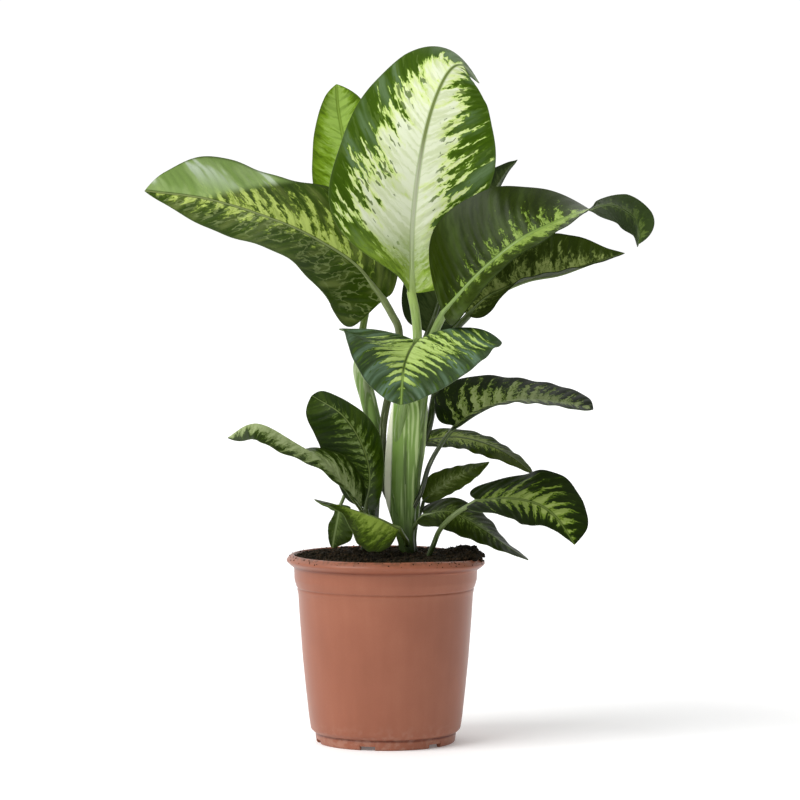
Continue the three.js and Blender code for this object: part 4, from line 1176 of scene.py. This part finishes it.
grow_leaf(
    "small_right_leaf", "leaf_low_small_right", "leaf_dark_green", SMALL,
    seed=14, vein_spacing=6, quilt=0.25, stalk=[(25, 6, 209), (34, 13, 224)],
    rib=[(37, 16, 234), (53, 20, 248), (75, 24, 260), (102, 30, 272)], face=(-0.3, -0.88, 0.35),
    width=((7, 16, 15, 10, 3), (8, 14, 15, 11, 4)),
    lift=((10, 5, -3, -9, -10), (14, 11, 5, 1, -2)),
    reach=((0.0, 0.2, 0.2, 0.1, 0.0), (0.0, 0.2, 0.2, 0.1, 0.0)), twist=-18, lobe=0.01,
    wave=(0, 1, 0), radii=(2.4, 1.8),
    stem=[(0.0, 44, 58, 20), (0.5, 66, 80, 36), (1.0, 84, 98, 50)], fingers=(0.4, 1.4, 1.5),
    barbs=1.3, tones=[(0.25, 68, 84, 20), (0.5, 104, 118, 58), (0.8, 146, 158, 108)],
    bloom=((92, 102, 70), 0.5))

grow_leaf(
    "largest_low_leaf", "leaf_low_right", "leaf_mid_green", SMALL,
    rows=130, seed=15,
    stalk=[(40, -26, 163), (41, -27, 181), (46, -33, 195), (53, -42, 212), (67, -50, 227)],
    rib=[(87, -54, 240), (115, -59, 243), (143, -65, 239), (163, -71, 226), (181, -77, 200)],
    face=(0, -0.56, 0.83), width=((13, 37, 45, 32, 20), (16, 28, 30, 13, 3)),
    lift=((6, -9, 1, 12, 14), (21, 11, -2, -10, -7)),
    reach=((0.0, 0.4, 0.45, 0.35, 0.0), (0.0, 0.35, 0.4, 0.3, 0.0)), twist=12, lobe=0.15,
    wave=(0.8, 2.5, 0), radii=(3, 2.2),
    stem=[(0.0, 30, 38, 16), (0.22, 50, 64, 28), (0.45, 112, 130, 72), (1.0, 90, 110, 40)],
    fingers=(0.42, 2.0, 1.6), barbs=1.3, spread=1.1, herring=(10.5, 0.24),
    tones=[(0.3, 26, 40, 0), (0.49, 42, 60, 6), (0.56, 74, 98, 18), (0.64, 116, 140, 46),
           (0.85, 150, 168, 90)],
    rib_line=(0.9, 0.5, (44, 62, 8), [(0.0, 120, 138, 74), (1.0, 90, 108, 44)]),
    edge=(0.9, (30, 40, 18), 0.8))

grow_leaf(
    "inner_right_leaf", "leaf_low_inner_right", "leaf_mid_green", SMALL,
    seed=16, stalk=[(22, -4, 202), (30, -9, 215)],
    rib=[(37, -14, 223), (62, -22, 227), (91, -30, 213), (116, -36, 196), (138, -42, 182)],
    face=(0, -0.56, 0.83), width=((12, 24, 24, 14, 7), (12, 23, 22, 14, 5)),
    lift=((-6, -2, -8, -21, -18), (10, -6, -8, 0, 7)),
    reach=((0.2, 0.3, 0.3, 0.2, 0.0), (0.2, 0.3, 0.3, 0.2, 0.0)), twist=-16, lobe=0.12,
    wave=(0.6, 2, 0), radii=(2.6, 2),
    stem=[(0.0, 50, 66, 22), (0.5, 84, 102, 42), (1.0, 92, 110, 50)], fingers=(0.4, 1.6, 1.5),
    barbs=1.3,
    tones=[(0.25, 32, 44, 0), (0.5, 48, 62, 12), (0.7, 84, 102, 40), (0.9, 112, 128, 74)],
    rib_line=(0.9, 0.5, (40, 54, 8), [(0.0, 96, 112, 54), (1.0, 84, 98, 44)]),
    edge=(0.9, (36, 46, 16), 0.6))


# ------------------------------------------------------------------ floor, light and camera
# A plain white sweep. White walls stand behind and to the left, the room in front is dimmer,
# and a broad soft light falls from the upper left. The camera looks slightly down.

FLOOR_REACH = 30
BACKDROP_WHITE = 1.05
LENS = 166.15
SENSOR_WIDTH = 36
CAMERA_PLACE = (0.014, -3.5951, 0.523)
CAMERA_TILT = 87

floor_mesh = bpy.data.meshes.new("floor")
floor_mesh.from_pydata([(x * FLOOR_REACH, y * FLOOR_REACH, 0)
                        for x, y in ((-1, -1), (1, -1), (1, 1), (-1, 1))], [], [(0, 1, 2, 3)])
floor = placed("floor", floor_mesh)
floor_finish = Finish("white_floor", Roughness=0.9, Specular_IOR_Level=0.2,
                      Emission_Color=(1, 1, 1, 1), Emission_Strength=0.12)
floor_finish.feed(Base_Color=floor_finish.mix((252, 252, 252), (249, 249, 249),
                                              floor_finish.grain(floor_finish.place(), 3, 2)))
floor_mesh.materials.append(floor_finish.material)

key_lamp = bpy.data.lights.new("key_left", "SUN")
key_lamp.angle = math.radians(40)
key_lamp.energy = 2.1
key_light = placed("key_left", key_lamp)
key_light.rotation_euler = Vector((1.0, 0.75, -1.3)).to_track_quat("-Z", "Y").to_euler()


class Studio(Nodes):
    """White behind, bright on the left and above, dim in front and on the right."""

    def __init__(self, name, behind, left, above, front):
        self.world = bpy.data.worlds.new(name)
        self.world.use_nodes = True
        self.tree = self.world.node_tree
        direction = self.node("ShaderNodeTexCoord", output=0)
        east, north, up = (self.part(direction, axis) for axis in "XYZ")
        room = (front + north.rise(-0.1, 0.8) * behind + east.rise(0.1, -0.9) * left
                + up.rise(0.2, 0.9) * above)
        seen = self.node("ShaderNodeLightPath")
        strength = room * (1 - seen) + seen * BACKDROP_WHITE
        background = self.tree.nodes["Background"]
        background.inputs["Color"].default_value = (1, 1, 1, 1)
        self.tree.links.new(strength.socket, background.inputs["Strength"])


studio = Studio("white_studio", behind=0.6, left=0.45, above=0.3, front=0.22)
bpy.context.scene.world = studio.world
bpy.context.scene.view_settings.view_transform = "Standard"

lens = bpy.data.cameras.new("camera")
lens.lens = LENS
lens.sensor_width = SENSOR_WIDTH
camera = placed("camera", lens)
camera.location = CAMERA_PLACE
camera.rotation_euler = (math.radians(CAMERA_TILT), 0, 0)
bpy.context.scene.camera = camera
